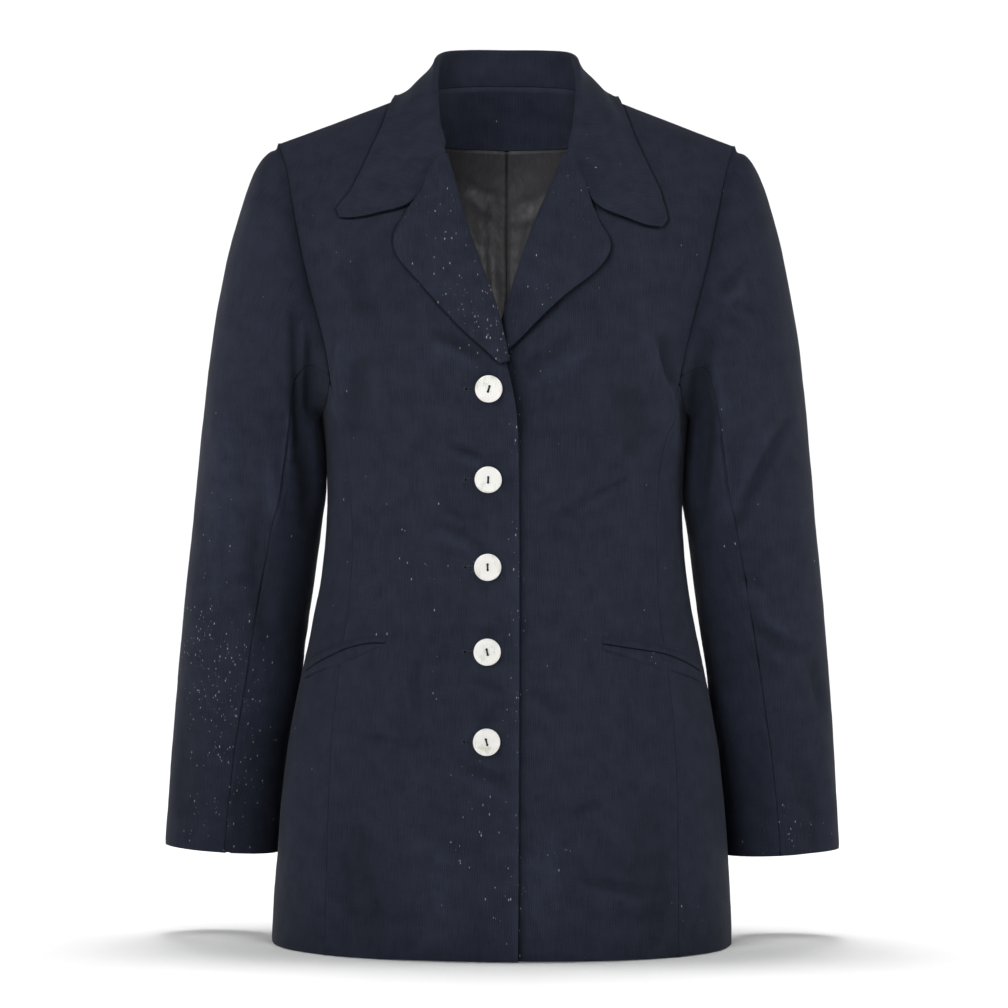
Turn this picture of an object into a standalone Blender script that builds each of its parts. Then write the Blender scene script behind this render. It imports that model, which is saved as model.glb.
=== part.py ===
"""A women's single-breasted suit jacket, standing as if worn, with its neck, hem and cuffs open.

Metres, +Z up. The front faces -Y and the origin is the middle of the neck base.
Every piece is worked out on its own side of the body, where x grows from the centre line to
that side, and is mirrored for the right side. "Right" and "left" are the wearer's own sides,
so the right front, which laps over the left one, lies at negative X.
"""

import math

import bmesh
import bpy
import numpy as np
from mathutils import Matrix, Vector

# ---------------------------------------------------------------- driving dimensions (metres)
CLOTH = 0.0016          # wall of one layer of suiting
DOUBLE = 0.0019         # wall of the collar and the lapels, two layers pressed together
LINING = 0.0010         # wall of the satin lining and of the neck facing
SEAM_GAP = 0.0004       # room between two pieces at a seam
LAYER_GAP = 0.0005      # room between a piece and the panel that it lies on
LINING_SLACK = 0.0017   # the lining and the neck facing hang this far inside the back

HEM_Z = -0.699          # lower edge of the jacket
LINING_HEM = 0.018      # how far the lining stops above the hem
LINING_DROP = 0.0012    # and below the neck facing
LINING_SHOULDER = 0.006 # and below the shoulder seams
CHEST_Z = -0.232        # height at which the armhole leaves the side seams
NECK_X = 0.066          # half width of the neck at the shoulder seams
SHOULDER_X = 0.193      # half width across the shoulders
SHOULDER_END_Z = -0.0268

BUTTON_RADIUS = 0.0111
BUTTON_THICK = 0.0026
BUTTON_LIFT = 0.0007    # the thread shank holds it this far off the cloth
BUTTON_X = -0.0133      # the buttons' line, to the wearer's right of the middle
BUTTON_HEIGHTS = (-0.2379, -0.3109, -0.3828, -0.4516, -0.5239)
BUTTON_LEANS = (-15.0, -2.0, 2.0, 12.0, 14.0)   # how the two holes lean, in degrees
HOLE_RADIUS = 0.0010
HOLE_PITCH = 0.0040
BUTTON_SIDES = 16

RETURN = 0.0070         # how far a lapel runs on inside the front
LAPEL_END_RISE = 0.0015 # its roll ends this far above the end of its outer edge
GORGE_ROOM_ROLL = (-0.0005, -0.0018)    # room between lapel and collar, at the roll line
GORGE_ROOM_NOTCH = (-0.0005, -0.0008)   # and at the notch
ROLL_RADIUS = 0.0032    # outer radius of the soft fold of the collar and lapels
NECK_COVER = 0.0040     # how far the collar covers the neck edge of the fronts
GORGE_RETREAT = 0.0056  # how far the fronts' corner stays back from the roll at the gorge
SLEEVE_GAP = 0.0009     # room between the body and the sleeve along the armhole
UNDERARM_GAP = 0.0012   # and this much more at its lowest point
FACING_DEPTH_Z = -0.0215    # lower edge of the neck facing at the centre back
FACING_SHOULDER = 0.0022    # how far it stays below the shoulder seams
RAD = math.pi / 180.0

# One row for each level of the body: height, half width, depth in front, depth behind, and
# squareness of the section (2 is an ellipse). Above the chest the width runs on as if under
# the sleeve heads.
BODY = (
    # z       width   front   back    square
    (-0.699, 0.1950, 0.1370, 0.1300, 2.30),
    (-0.660, 0.1935, 0.1350, 0.1280, 2.30),
    (-0.610, 0.1900, 0.1300, 0.1240, 2.30),
    (-0.556, 0.1855, 0.1240, 0.1170, 2.30),
    (-0.500, 0.1765, 0.1170, 0.1070, 2.30),
    (-0.450, 0.1655, 0.1095, 0.0960, 2.25),
    (-0.400, 0.1555, 0.1035, 0.0860, 2.20),
    (-0.360, 0.1508, 0.1010, 0.0810, 2.20),
    (-0.325, 0.1500, 0.1040, 0.0810, 2.20),
    (-0.290, 0.1512, 0.1120, 0.0860, 2.15),
    (-0.250, 0.1560, 0.1205, 0.0930, 2.10),
    (-0.215, 0.1655, 0.1235, 0.0990, 2.05),
    (-0.180, 0.1780, 0.1205, 0.1040, 2.00),
    (-0.140, 0.1920, 0.1135, 0.1070, 2.00),
    (-0.100, 0.2030, 0.1045, 0.1060, 2.00),
    (-0.060, 0.2110, 0.0930, 0.1010, 2.00),
    (-0.020, 0.2160, 0.0800, 0.0930, 2.00),
    (0.070, 0.2180, 0.0560, 0.0740, 2.00),
)

# The ridge along the top of the shoulders, where front and back meet: x, height, y
RIDGE = (
    (0.000, 0.0680, 0.003),
    (0.030, 0.0600, 0.003),
    (0.055, 0.0380, 0.003),
    (0.066, 0.0205, 0.003),
    (0.0915, 0.0112, 0.004),
    (0.147, -0.0098, 0.006),
    (0.193, -0.0268, 0.008),
    (0.230, -0.0410, 0.009),
)
RIDGE_CLEAR = 0.0001    # the panels stop this far below the ridge
RIDGE_ROUND = 0.130     # how far below the ridge the cloth is still bending over it
RIDGE_POWER = 1.7

# The armhole: angle round the body from the front centre, and height. It starts at the
# shoulder, runs down the front, under the arm and up the back.
ARMHOLE = (
    (63.7, -0.0268),
    (60.3, -0.048),
    (59.7, -0.085),
    (59.5, -0.118),
    (60.0, -0.150),
    (60.6, -0.182),
    (60.8, -0.208),
    (63.0, -0.232),
    (71.0, -0.250),
    (90.0, -0.2585),
    (104.0, -0.253),
    (112.5, -0.238),
    (114.5, -0.218),
    (114.0, -0.192),
    (114.2, -0.160),
    (115.6, -0.125),
    (116.9, -0.090),
    (117.1, -0.055),
    (116.3, -0.0268),
)
FRONT_SEAM_KNOT = 7     # row of ARMHOLE where the front and side panels meet
UNDERARM_KNOT = 9
BACK_SEAM_KNOT = 11     # row where the side and back panels meet

# Seams that run down the body: height, x
FRONT_SEAM = (
    (-0.699, 0.1445),
    (-0.600, 0.1435),
    (-0.520, 0.1410),
    (-0.460, 0.1340),
    (-0.400, 0.1270),
    (-0.360, 0.1255),
    (-0.300, 0.1285),
    (-0.260, 0.1360),
    (-0.232, 0.1432),
)
BACK_SEAM = (
    (-0.699, 0.1420),
    (-0.600, 0.1390),
    (-0.520, 0.1330),
    (-0.400, 0.1180),
    (-0.340, 0.1160),
    (-0.290, 0.1240),
    (-0.260, 0.1355),
    (-0.238, 0.1463),
)

# The visible front edge and roll line of each front, on its own side: height, x
RIGHT_EDGE = (
    (-0.699, -0.0130),
    (-0.490, -0.0127),
    (-0.330, -0.0117),
    (-0.271, -0.0106),
    (-0.2475, -0.0085),
    (-0.2270, -0.0046),
    (-0.2080, -0.0008),
    (-0.1975, 0.0014),
    (-0.1773, 0.0058),
    (-0.1455, 0.0172),
    (-0.1047, 0.0320),
    (-0.0630, 0.0440),
    (-0.0415, 0.0503),
)
LEFT_EDGE = (
    (-0.699, -0.0380),
    (-0.320, -0.0380),
    (-0.275, -0.0350),
    (-0.2500, -0.0275),
    (-0.2235, -0.0165),
    (-0.1740, -0.0005),
    (-0.1420, 0.0095),
    (-0.1043, 0.0225),
    (-0.0625, 0.0400),
    (-0.0415, 0.0488),
)
BREAK_Z = -0.2235       # where the lapels start to turn back
GORGE_Z = -0.0415       # where collar and lapel meet on the roll line

# The neck edge of the fronts above the gorge, and of the back: x, height
FRONT_NECK = (
    (0.0500, -0.0415),
    (0.0565, -0.0200),
    (0.0620, 0.0030),
    (0.0660, 0.0205),
)
BACK_NECK = (
    (0.000, 0.0290),
    (0.030, 0.0280),
    (0.052, 0.0250),
    (0.066, 0.0205),
)

# Outer edges of the lapels from the notch to the break: x, height
RIGHT_LAPEL = (
    (0.0752, -0.0905),
    (0.0862, -0.1000),
    (0.0905, -0.1080),
    (0.0920, -0.1175),
    (0.0870, -0.1315),
    (0.0746, -0.1456),
    (0.0541, -0.1698),
    (0.0312, -0.1940),
    (0.0125, -0.2101),
    (0.0045, -0.2172),
)
LEFT_LAPEL = (
    (0.0702, -0.0908),
    (0.0782, -0.1055),
    (0.0843, -0.1140),
    (0.0855, -0.1215),
    (0.0812, -0.1316),
    (0.0691, -0.1447),
    (0.0505, -0.1594),
    (0.0263, -0.1823),
    (0.0045, -0.2027),
    (-0.0050, -0.2110),
)

# The collar's front end from the roll line along the gorge to the notch, then to its point
RIGHT_COLLAR_END = (
    (0.0503, -0.0415),
    (0.0588, -0.0585),
    (0.0672, -0.0745),
    (0.0752, -0.0895),
    (0.0911, -0.0926),
    (0.1068, -0.0965),
    (0.1225, -0.0990),
    (0.1335, -0.0978),
    (0.1366, -0.0912),
)
LEFT_COLLAR_END = (
    (0.0488, -0.0415),
    (0.0565, -0.0590),
    (0.0636, -0.0750),
    (0.0702, -0.0898),
    (0.0833, -0.0940),
    (0.1007, -0.1000),
    (0.1150, -0.1048),
    (0.1250, -0.1045),
    (0.1300, -0.0985),
)

# The collar from the centre back to the front: its fold line in space, the neck seam that the
# stand rises from (x, height, which panel), and the fall's outer edge (x, height, which panel)
COLLAR = (
    # fold x   fold y   fold z   seam x  seam z   on      edge x  edge z   on
    (0.0000, 0.0560, 0.0605, 0.0000, 0.0290, "back", 0.0000, 0.0010, "back"),
    (0.0200, 0.0540, 0.0605, 0.0180, 0.0288, "back", 0.0320, 0.0018, "back"),
    (0.0380, 0.0460, 0.0590, 0.0350, 0.0278, "back", 0.0600, 0.0040, "back"),
    (0.0505, 0.0320, 0.0560, 0.0500, 0.0256, "back", 0.0785, 0.0070, "back"),
    (0.0565, 0.0140, 0.0500, 0.0610, 0.0226, "back", 0.0890, 0.0102, "back"),
    (0.0585, -0.0060, 0.0395, 0.0650, 0.0160, "front", 0.0938, 0.0040, "front"),
    (0.0588, -0.0240, 0.0250, 0.0632, 0.0070, "front", 0.0985, -0.0120, "front"),
    (0.0580, -0.0420, 0.0070, 0.0605, -0.0050, "front", 0.1065, -0.0300, "front"),
    (0.0560, -0.0580, -0.0130, 0.0570, -0.0190, "front", 0.1155, -0.0510, "front"),
    (0.0525, -0.0720, -0.0320, 0.0530, -0.0330, "front", 0.1255, -0.0730, "front"),
)
COLLAR_LIFT = 0.0032    # how far the fall's face stands off the panel at its outer edge
COLLAR_EASE = 5         # rounds of smoothing along the collar's fall
COLLAR_ROWS = 14        # sections of half the collar, from the centre back to its last table row
COLLAR_END_ROWS = 4     # and from there to its front end
COLLAR_STEPS = 9        # points across the fall
ROLL_TURNS = 3          # steps round the soft fold
ROLL_REACH = 80.0       # how far the fold turns to each side of its crest, in degrees

# The sleeve, ring by ring from the armhole to the cuff: the ring's outer and inner ends as
# seen from the front, and how far it reaches forward and back
SLEEVE = (
    # outer x  outer z   inner x  inner z   front y  back y
    (0.1995, -0.0280, 0.1568, -0.2640, -0.0620, 0.0560),
    (0.2078, -0.0390, 0.1572, -0.2700, -0.0660, 0.0610),
    (0.2170, -0.0610, 0.1570, -0.2770, -0.0680, 0.0640),
    (0.2265, -0.0935, 0.1565, -0.2850, -0.0675, 0.0660),
    (0.2362, -0.1330, 0.1557, -0.2950, -0.0650, 0.0670),
    (0.2436, -0.1735, 0.1549, -0.3070, -0.0610, 0.0680),
    (0.2500, -0.2200, 0.1544, -0.3220, -0.0560, 0.0690),
    (0.2551, -0.2650, 0.1548, -0.3400, -0.0510, 0.0695),
    (0.2600, -0.3120, 0.1573, -0.3620, -0.0460, 0.0690),
    (0.2646, -0.3560, 0.1607, -0.3880, -0.0410, 0.0680),
    (0.2694, -0.4020, 0.1648, -0.4180, -0.0360, 0.0670),
    (0.2735, -0.4470, 0.1700, -0.4520, -0.0320, 0.0665),
    (0.2770, -0.4900, 0.1765, -0.4920, -0.0280, 0.0665),
    (0.2805, -0.5400, 0.1846, -0.5420, -0.0230, 0.0665),
    (0.2838, -0.5850, 0.1892, -0.5890, -0.0185, 0.0665),
    (0.2862, -0.6218, 0.1908, -0.6280, -0.0160, 0.0665),
)
# Where the two long sleeve seams run: angle round the ring from its outer end, at the armhole
# and at each of the rings above, forward (front seam) and backward (back seam)
SLEEVE_FRONT_SEAM = (122.0, 120.0, 118.0, 114.0, 108.0, 103.0, 99.0, 96.0)
SLEEVE_BACK_SEAM = (108.0, 112.0, 118.0, 122.0, 125.0, 126.0, 126.0, 126.0)

# Jetted pockets: distance from the middle, height of the mouth, depth of the upper and of the
# lower welt. The right one sits further round the side and closes to a point
RIGHT_POCKET = (
    (0.0955, -0.4456, 0.0058, 0.0014),
    (0.1049, -0.4453, 0.0060, 0.0062),
    (0.1161, -0.4471, 0.0060, 0.0100),
    (0.1288, -0.4510, 0.0061, 0.0116),
    (0.1403, -0.4564, 0.0062, 0.0100),
    (0.1547, -0.4646, 0.0068, 0.0070),
    (0.1650, -0.4722, 0.0068, 0.0052),
)
LEFT_POCKET = (
    (0.0789, -0.4444, 0.0063, 0.0064),
    (0.0950, -0.4472, 0.0062, 0.0085),
    (0.1201, -0.4513, 0.0060, 0.0122),
    (0.1320, -0.4537, 0.0057, 0.0126),
    (0.1432, -0.4581, 0.0058, 0.0114),
    (0.1524, -0.4627, 0.0055, 0.0100),
    (0.1640, -0.4704, 0.0046, 0.0080),
)
WELT_THICK = 0.0012
WELT_LIFT = 0.0005

# Large folds: which side ("R", "L"), where ("front", "back"), the two ends of the fold's line
# as seen from the front, its half width and its height (a trough is negative)
FOLDS = (
    ("R", "front", 0.1285, -0.200, 0.1445, -0.262, 0.0080, 0.0030),
    ("R", "front", 0.1060, -0.245, 0.1290, -0.318, 0.0100, 0.0026),
    ("R", "front", 0.1180, -0.225, 0.1360, -0.290, 0.0060, -0.0022),
    ("L", "front", 0.1210, -0.200, 0.1400, -0.278, 0.0080, 0.0032),
    ("L", "front", 0.1080, -0.235, 0.1240, -0.290, 0.0070, -0.0026),
    ("R", "front", 0.0500, -0.275, 0.0180, -0.292, 0.0070, 0.0016),
    ("L", "front", 0.0850, -0.312, 0.0400, -0.322, 0.0080, 0.0014),
    ("R", "back", 0.1080, -0.300, 0.0300, -0.335, 0.0120, 0.0024),
    ("L", "back", 0.1000, -0.315, 0.0240, -0.345, 0.0120, 0.0024),
    ("R", "back", 0.1260, -0.170, 0.1200, -0.260, 0.0110, 0.0024),
    ("L", "back", 0.1300, -0.180, 0.1180, -0.265, 0.0110, 0.0024),
    ("R", "sleeve", 0.1880, -0.160, 0.2000, -0.265, 0.0080, 0.0030),
    ("R", "sleeve", 0.1880, -0.285, 0.1820, -0.370, 0.0090, 0.0028),
    ("L", "sleeve", 0.1950, -0.150, 0.2080, -0.200, 0.0070, 0.0026),
    ("L", "sleeve", 0.2280, -0.418, 0.2000, -0.432, 0.0080, 0.0024),
    ("L", "sleeve", 0.1860, -0.300, 0.2150, -0.335, 0.0100, 0.0026),
)

BUST_X = 0.082          # the bust's fullness, cut into the fronts
BUST_Z = -0.218
BUST_WIDE = 0.046
BUST_TALL = 0.052
BUST_OUT = 0.009

UNDERLAP_PUSH = 0.0024  # the left front lies this far under the right one
CROSS_PUSH = 0.0128     # and more where its lapel passes under the right front's roll

COLOURS = {
    "navy": ((0.020, 0.024, 0.038, 1.0), 0.85),
    "satin": ((0.030, 0.030, 0.032, 1.0), 0.45),
    "pearl": ((0.820, 0.810, 0.780, 1.0), 0.25),
}


# ---------------------------------------------------------------- small tools
def clear_scene():
    for item in list(bpy.data.objects):
        bpy.data.objects.remove(item, do_unlink=True)


def column(table, index):
    return [row[index] for row in table]


def curve(knots, values, at):
    """A smooth curve through the values at the knots, with slopes that never overshoot."""
    knots = np.asarray(knots, float)
    values = np.asarray(values, float)
    at = np.clip(at, knots[0], knots[-1])
    step = np.diff(knots)
    slope = np.diff(values) / step
    tangent = np.empty(len(knots))
    tangent[0] = slope[0]
    tangent[-1] = slope[-1]
    for i in range(1, len(knots) - 1):
        if slope[i - 1] * slope[i] <= 0.0:
            tangent[i] = 0.0
        else:
            before = 2 * step[i] + step[i - 1]
            after = step[i] + 2 * step[i - 1]
            tangent[i] = (before + after) / (before / slope[i - 1] + after / slope[i])
    place = int(np.clip(np.searchsorted(knots, at) - 1, 0, len(knots) - 2))
    t = (at - knots[place]) / step[place]
    return float(
        values[place] * (2 * t**3 - 3 * t**2 + 1)
        + tangent[place] * step[place] * (t**3 - 2 * t**2 + t)
        + values[place + 1] * (3 * t**2 - 2 * t**3)
        + tangent[place + 1] * step[place] * (t**3 - t**2)
    )


def path_point(points, share):
    """A point at a share of the length of a smooth path through the points."""
    points = np.asarray(points, float)
    lengths = np.linalg.norm(np.diff(points, axis=0), axis=1)
    knots = np.concatenate(([0.0], np.cumsum(lengths)))
    at = share * knots[-1]
    return np.array([curve(knots, points[:, i], at) for i in range(points.shape[1])])


def ramp(value, low, high):
    """0 below low, 1 above high, and an even S between them."""
    t = min(max((value - low) / (high - low), 0.0), 1.0)
    return t * t * (3.0 - 2.0 * t)


def mix(a, b, share):
    return a + (b - a) * share


def unit(vector):
    return vector / np.linalg.norm(vector)


# ---------------------------------------------------------------- the body's surface
BODY_Z = column(BODY, 0)


def half_width(z):
    return curve(BODY_Z, column(BODY, 1), z)


def square(z):
    return curve(BODY_Z, column(BODY, 4), z)


def ridge_z(x):
    return curve(column(RIDGE, 0), column(RIDGE, 1), abs(x))


def ridge_y(x):
    return curve(column(RIDGE, 0), column(RIDGE, 2), abs(x))


def bent(x, z):
    """0 on the shoulder ridge and 1 well below it."""
    below = min(max((ridge_z(x) - z) / RIDGE_ROUND, 0.0), 1.0)
    return (1.0 - (1.0 - below) ** RIDGE_POWER) ** (1.0 / RIDGE_POWER)


def bust(x, z):
    across = (abs(x) - BUST_X) / BUST_WIDE
    up = (z - BUST_Z) / BUST_TALL
    return BUST_OUT * math.exp(-(across**2) - up**2)


def body_y(x, z, where):
    """Depth of the outer face at x and z, in front (negative) or behind."""
    share = min(abs(x) / half_width(z), 1.0)
    rounded = (1.0 - share ** square(z)) ** (1.0 / square(z))
    top = ridge_y(x)
    if where == "front":
        depth = curve(BODY_Z, column(BODY, 2), z) * rounded + bust(x, z)
        return top - (top + depth) * bent(x, z)
    depth = curve(BODY_Z, column(BODY, 3), z) * rounded
    return top + (depth - top) * bent(x, z)


def body_point(x, z, where):
    return np.array([x, body_y(x, z, where), z])


def angle_point(angle, z):
    """A point of the body by its angle from the front centre, in degrees."""
    where = "front" if angle <= 90.0 else "back"
    x = half_width(z) * math.sin(angle * RAD) ** (2.0 / square(z))
    return body_point(x, z, where)


def angle_of(x, z, where):
    share = min(abs(x) / half_width(z), 1.0)
    angle = math.asin(share ** (square(z) / 2.0)) / RAD
    return angle if where == "front" else 180.0 - angle


def face_normal(x, z, where):
    """The outward direction of the body at x and z."""
    step = 0.0012
    near = min(abs(x), half_width(z) - 2.0 * step) * (1.0 if x >= 0 else -1.0)
    across = body_point(near + step, z, where) - body_point(near - step, z, where)
    low = z - step
    high = min(z + step, ridge_z(near) - 0.0002)
    up = body_point(near, high, where) - body_point(near, low, where)
    normal = unit(np.cross(across, up))
    return normal if where == "front" else -normal


def angle_normal(angle, z):
    step = 0.6
    across = angle_point(angle + step, z) - angle_point(angle - step, z)
    up = angle_point(angle, z + 0.001) - angle_point(angle, z - 0.001)
    return unit(np.cross(across, up))


def fold_height(x, z, side, where):
    """How far the large folds lift the cloth at x and z."""
    total = 0.0
    for fold_side, fold_where, x0, z0, x1, z1, wide, high in FOLDS:
        if fold_side != side or fold_where != where:
            continue
        along = np.array([x1 - x0, z1 - z0])
        offset = np.array([x - x0, z - z0])
        t = float(offset @ along) / float(along @ along)
        t_in = min(max(t, 0.0), 1.0)
        away = np.linalg.norm(offset - along * t_in)
        ends = math.sin(math.pi * min(max(t * 0.8 + 0.1, 0.0), 1.0)) ** 0.7
        total += high * ends * math.exp(-((away / wide) ** 2))
    return total


def tuck(x, z, side):
    """How far the left front lies under the right one."""
    if side == "R":
        return 0.0
    lap = UNDERLAP_PUSH * (1.0 - ramp(x, 0.016, 0.032)) * (1.0 - ramp(z, -0.20, -0.17))
    across = 1.0 - ramp(x, 0.006, 0.042)
    up = ramp(z, -0.300, -0.240) * (1.0 - ramp(z, -0.172, -0.125))
    return lap + (CROSS_PUSH - UNDERLAP_PUSH) * across * up


def on_body(x, z, where, side, out):
    """A point moved out from a panel's face, with the panel's folds and tucks."""
    relief = fold_height(x, z, side, where)
    if where == "front":
        relief -= tuck(x, z, side)
    return body_point(x, z, where) + face_normal(x, z, where) * (out + relief)


# ---------------------------------------------------------------- meshes
def material(name):
    found = bpy.data.materials.get(name)
    if found:
        return found
    made = bpy.data.materials.new(name)
    made.use_nodes = True
    shader = made.node_tree.nodes["Principled BSDF"]
    colour, rough = COLOURS[name.split("_")[0]]
    shader.inputs["Base Color"].default_value = colour
    shader.inputs["Roughness"].default_value = rough
    shader.inputs["Metallic"].default_value = 0.0
    made.diffuse_color = colour
    return made


def add_object(name, mesh, kind):
    mesh.materials.append(material(kind + "_" + name))
    item = bpy.data.objects.new(name, mesh)
    bpy.context.scene.collection.objects.link(item)
    mesh.shade_smooth()
    mesh.set_sharp_from_angle(angle=math.radians(50.0))
    return item


def cloth(name, face, back, kind, mirror):
    """A closed wall between two grids of points, the visible face and the hidden one."""
    face = np.asarray(face, float).copy()
    back = np.asarray(back, float).copy()
    if mirror:
        face[..., 0] *= -1.0
        back[..., 0] *= -1.0
    rows, cols = face.shape[:2]
    points = [tuple(p) for p in face.reshape(-1, 3)] + [tuple(p) for p in back.reshape(-1, 3)]
    under = rows * cols

    def at(r, c):
        return r * cols + c

    quads = []
    for r in range(rows - 1):
        for c in range(cols - 1):
            ring = (at(r, c), at(r, c + 1), at(r + 1, c + 1), at(r + 1, c))
            quads.append(ring)
            quads.append(tuple(i + under for i in reversed(ring)))
    border = [at(0, c) for c in range(cols)]
    border += [at(r, cols - 1) for r in range(1, rows)]
    border += [at(rows - 1, c) for c in range(cols - 2, -1, -1)]
    border += [at(r, 0) for r in range(rows - 2, 0, -1)]
    for i, start in enumerate(border):
        end = border[(i + 1) % len(border)]
        quads.append((end, start, start + under, end + under))
    mesh = bpy.data.meshes.new(name)
    mesh.from_pydata(points, [], quads)
    work = bmesh.new()
    work.from_mesh(mesh)
    bmesh.ops.recalc_face_normals(work, faces=work.faces)
    if work.calc_volume(signed=True) < 0.0:
        bmesh.ops.reverse_faces(work, faces=work.faces)
    work.to_mesh(mesh)
    work.free()
    return add_object(name, mesh, kind)


def body_wall(name, places, side, thick, sink=0.0, kind="navy", lift=None):
    """A wall on the body: places is a grid of (x, z, where), sink moves it inward."""
    face = []
    back = []
    for row in places:
        face.append([])
        back.append([])
        for x, z, where in row:
            extra = lift(x, z) if lift else 0.0
            face[-1].append(on_body(x, z, where, side, extra - sink))
            back[-1].append(on_body(x, z, where, side, extra - sink - thick))
    return cloth(name, face, back, kind, side == "R")


# ---------------------------------------------------------------- borders of the panels
def armhole_share(first, last, share):
    """A point (angle, z) of the armhole at a share of the way between two of its rows."""
    part = ARMHOLE[first : last + 1]
    scaled = [(angle * RAD * 0.17, z) for angle, z in part]
    found = path_point(scaled, share)
    return found[0] / (RAD * 0.17), found[1]


def armhole_xz(first, last, share):
    angle, z = armhole_share(first, last, share)
    return np.array([angle_point(angle, z)[0], z])


def front_edge(side, z):
    """The front wall's own edge: under the fold of the lapel it stays inside the roll."""
    table = RIGHT_EDGE if side == "R" else LEFT_EDGE
    seen = curve(column(table, 0), column(table, 1), z)
    return seen + ROLL_RADIUS * ramp(z, BREAK_Z - 0.012, BREAK_Z + 0.010)


def front_inner(side, share):
    """The border above the chest: up the roll line, then round the neck to the shoulder."""
    table = RIGHT_EDGE if side == "R" else LEFT_EDGE
    heights = [CHEST_Z] + [z for z in column(table, 0) if CHEST_Z < z <= GORGE_Z]
    line = [(front_edge(side, z), z) for z in heights]
    line[-1] = (line[-1][0] + GORGE_RETREAT, line[-1][1])
    line += [(x + NECK_COVER, z) for x, z in FRONT_NECK[1:]]
    return path_point(line, share)


def coons(bottom, top, inner, outer, u, v):
    """A point inside four borders, in x and z."""
    low = mix(inner(0.0), outer(0.0), u)
    high = mix(inner(1.0), outer(1.0), u)
    return mix(bottom(u), top(u), v) + mix(inner(v), outer(v), u) - mix(low, high, v)


def crowd(share):
    """Row spacing that draws together towards the shoulder."""
    return 1.0 - (1.0 - share) ** 1.5


def levels(low, high, count):
    return [mix(low, high, i / count) for i in range(count + 1)]


def front_places(side, columns, low_rows, high_rows):
    gap = SEAM_GAP / 2.0
    rows = []
    for z in levels(HEM_Z, CHEST_Z, low_rows):
        inner = front_edge(side, z)
        outer = curve(column(FRONT_SEAM, 0), column(FRONT_SEAM, 1), z) - gap
        rows.append([(mix(inner, outer, i / columns), z, "front") for i in range(columns + 1)])

    def bottom(u):
        return mix(np.array([rows[low_rows][0][0], CHEST_Z]),
                   np.array([rows[low_rows][-1][0], CHEST_Z]), u)

    def top(u):
        x = mix(NECK_X + NECK_COVER, SHOULDER_X - gap, u)
        return np.array([x, ridge_z(x) - RIDGE_CLEAR])

    def inner_side(v):
        return front_inner(side, v) - np.array([0.0, 0.0003]) * v

    def outer_side(v):
        point = armhole_xz(0, FRONT_SEAM_KNOT, 1.0 - v)
        return point - np.array([gap, 0.0])

    for i in range(1, high_rows + 1):
        v = crowd(i / high_rows)
        rows.append([])
        for j in range(columns + 1):
            x, z = coons(bottom, top, inner_side, outer_side, j / columns, v)
            rows[-1].append((float(x), float(z), "front"))
    return rows


def back_top(x):
    """The back's upper edge: the neck, then the shoulder seam."""
    if x <= NECK_X:
        under_collar = 0.0004 + 0.0026 * ramp(x, 0.040, 0.060)
        return curve(column(BACK_NECK, 0), column(BACK_NECK, 1), x) - under_collar
    return ridge_z(x) - RIDGE_CLEAR


def facing_top(x):
    """The facing's upper edge: close under the stand at the neck, lower over the shoulders."""
    if x <= NECK_X:
        return curve(column(BACK_NECK, 0), column(BACK_NECK, 1), x) - SEAM_GAP
    return ridge_z(x) - FACING_SHOULDER


def facing_low(x):
    """The lower edge of the neck facing, rising to the shoulder seams."""
    return FACING_DEPTH_Z + 0.020 * ramp(x, 0.060, 0.112)


def back_places(columns, low_rows, high_rows, inset=0.0, hem=HEM_Z, top_edge=back_top):
    gap = SEAM_GAP / 2.0 + inset
    join = ARMHOLE[BACK_SEAM_KNOT][1]
    rows = []
    for z in levels(hem, join, low_rows):
        outer = curve(column(BACK_SEAM, 0), column(BACK_SEAM, 1), z) - gap
        inner = SEAM_GAP / 2.0
        rows.append([(mix(inner, outer, i / columns), z, "back") for i in range(columns + 1)])

    def bottom(u):
        return mix(np.array([rows[low_rows][0][0], join]),
                   np.array([rows[low_rows][-1][0], join]), u)

    def top(u):
        x = mix(SEAM_GAP / 2.0, SHOULDER_X - gap, u)
        return np.array([x, top_edge(x)])

    def inner_side(v):
        return np.array([SEAM_GAP / 2.0, mix(join, top_edge(0.0), v)])

    def outer_side(v):
        last = len(ARMHOLE) - 1
        point = armhole_xz(BACK_SEAM_KNOT, last, v)
        point = point - np.array([gap, 0.0])
        return np.array([point[0], min(point[1], top_edge(point[0]))])

    for i in range(1, high_rows + 1):
        v = crowd(i / high_rows)
        rows.append([])
        for j in range(columns + 1):
            x, z = coons(bottom, top, inner_side, outer_side, j / columns, v)
            rows[-1].append((float(x), float(z), "back"))
    return rows


# ---------------------------------------------------------------- body panels
def make_front(side):
    name = "front_right" if side == "R" else "front_left"
    places = front_places(side, columns=12, low_rows=17, high_rows=12)
    body_wall(name, places, side, CLOTH)


def make_back(side):
    name = "back_right" if side == "R" else "back_left"
    body_wall(name, back_places(columns=10, low_rows=15, high_rows=10), side, CLOTH)


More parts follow.
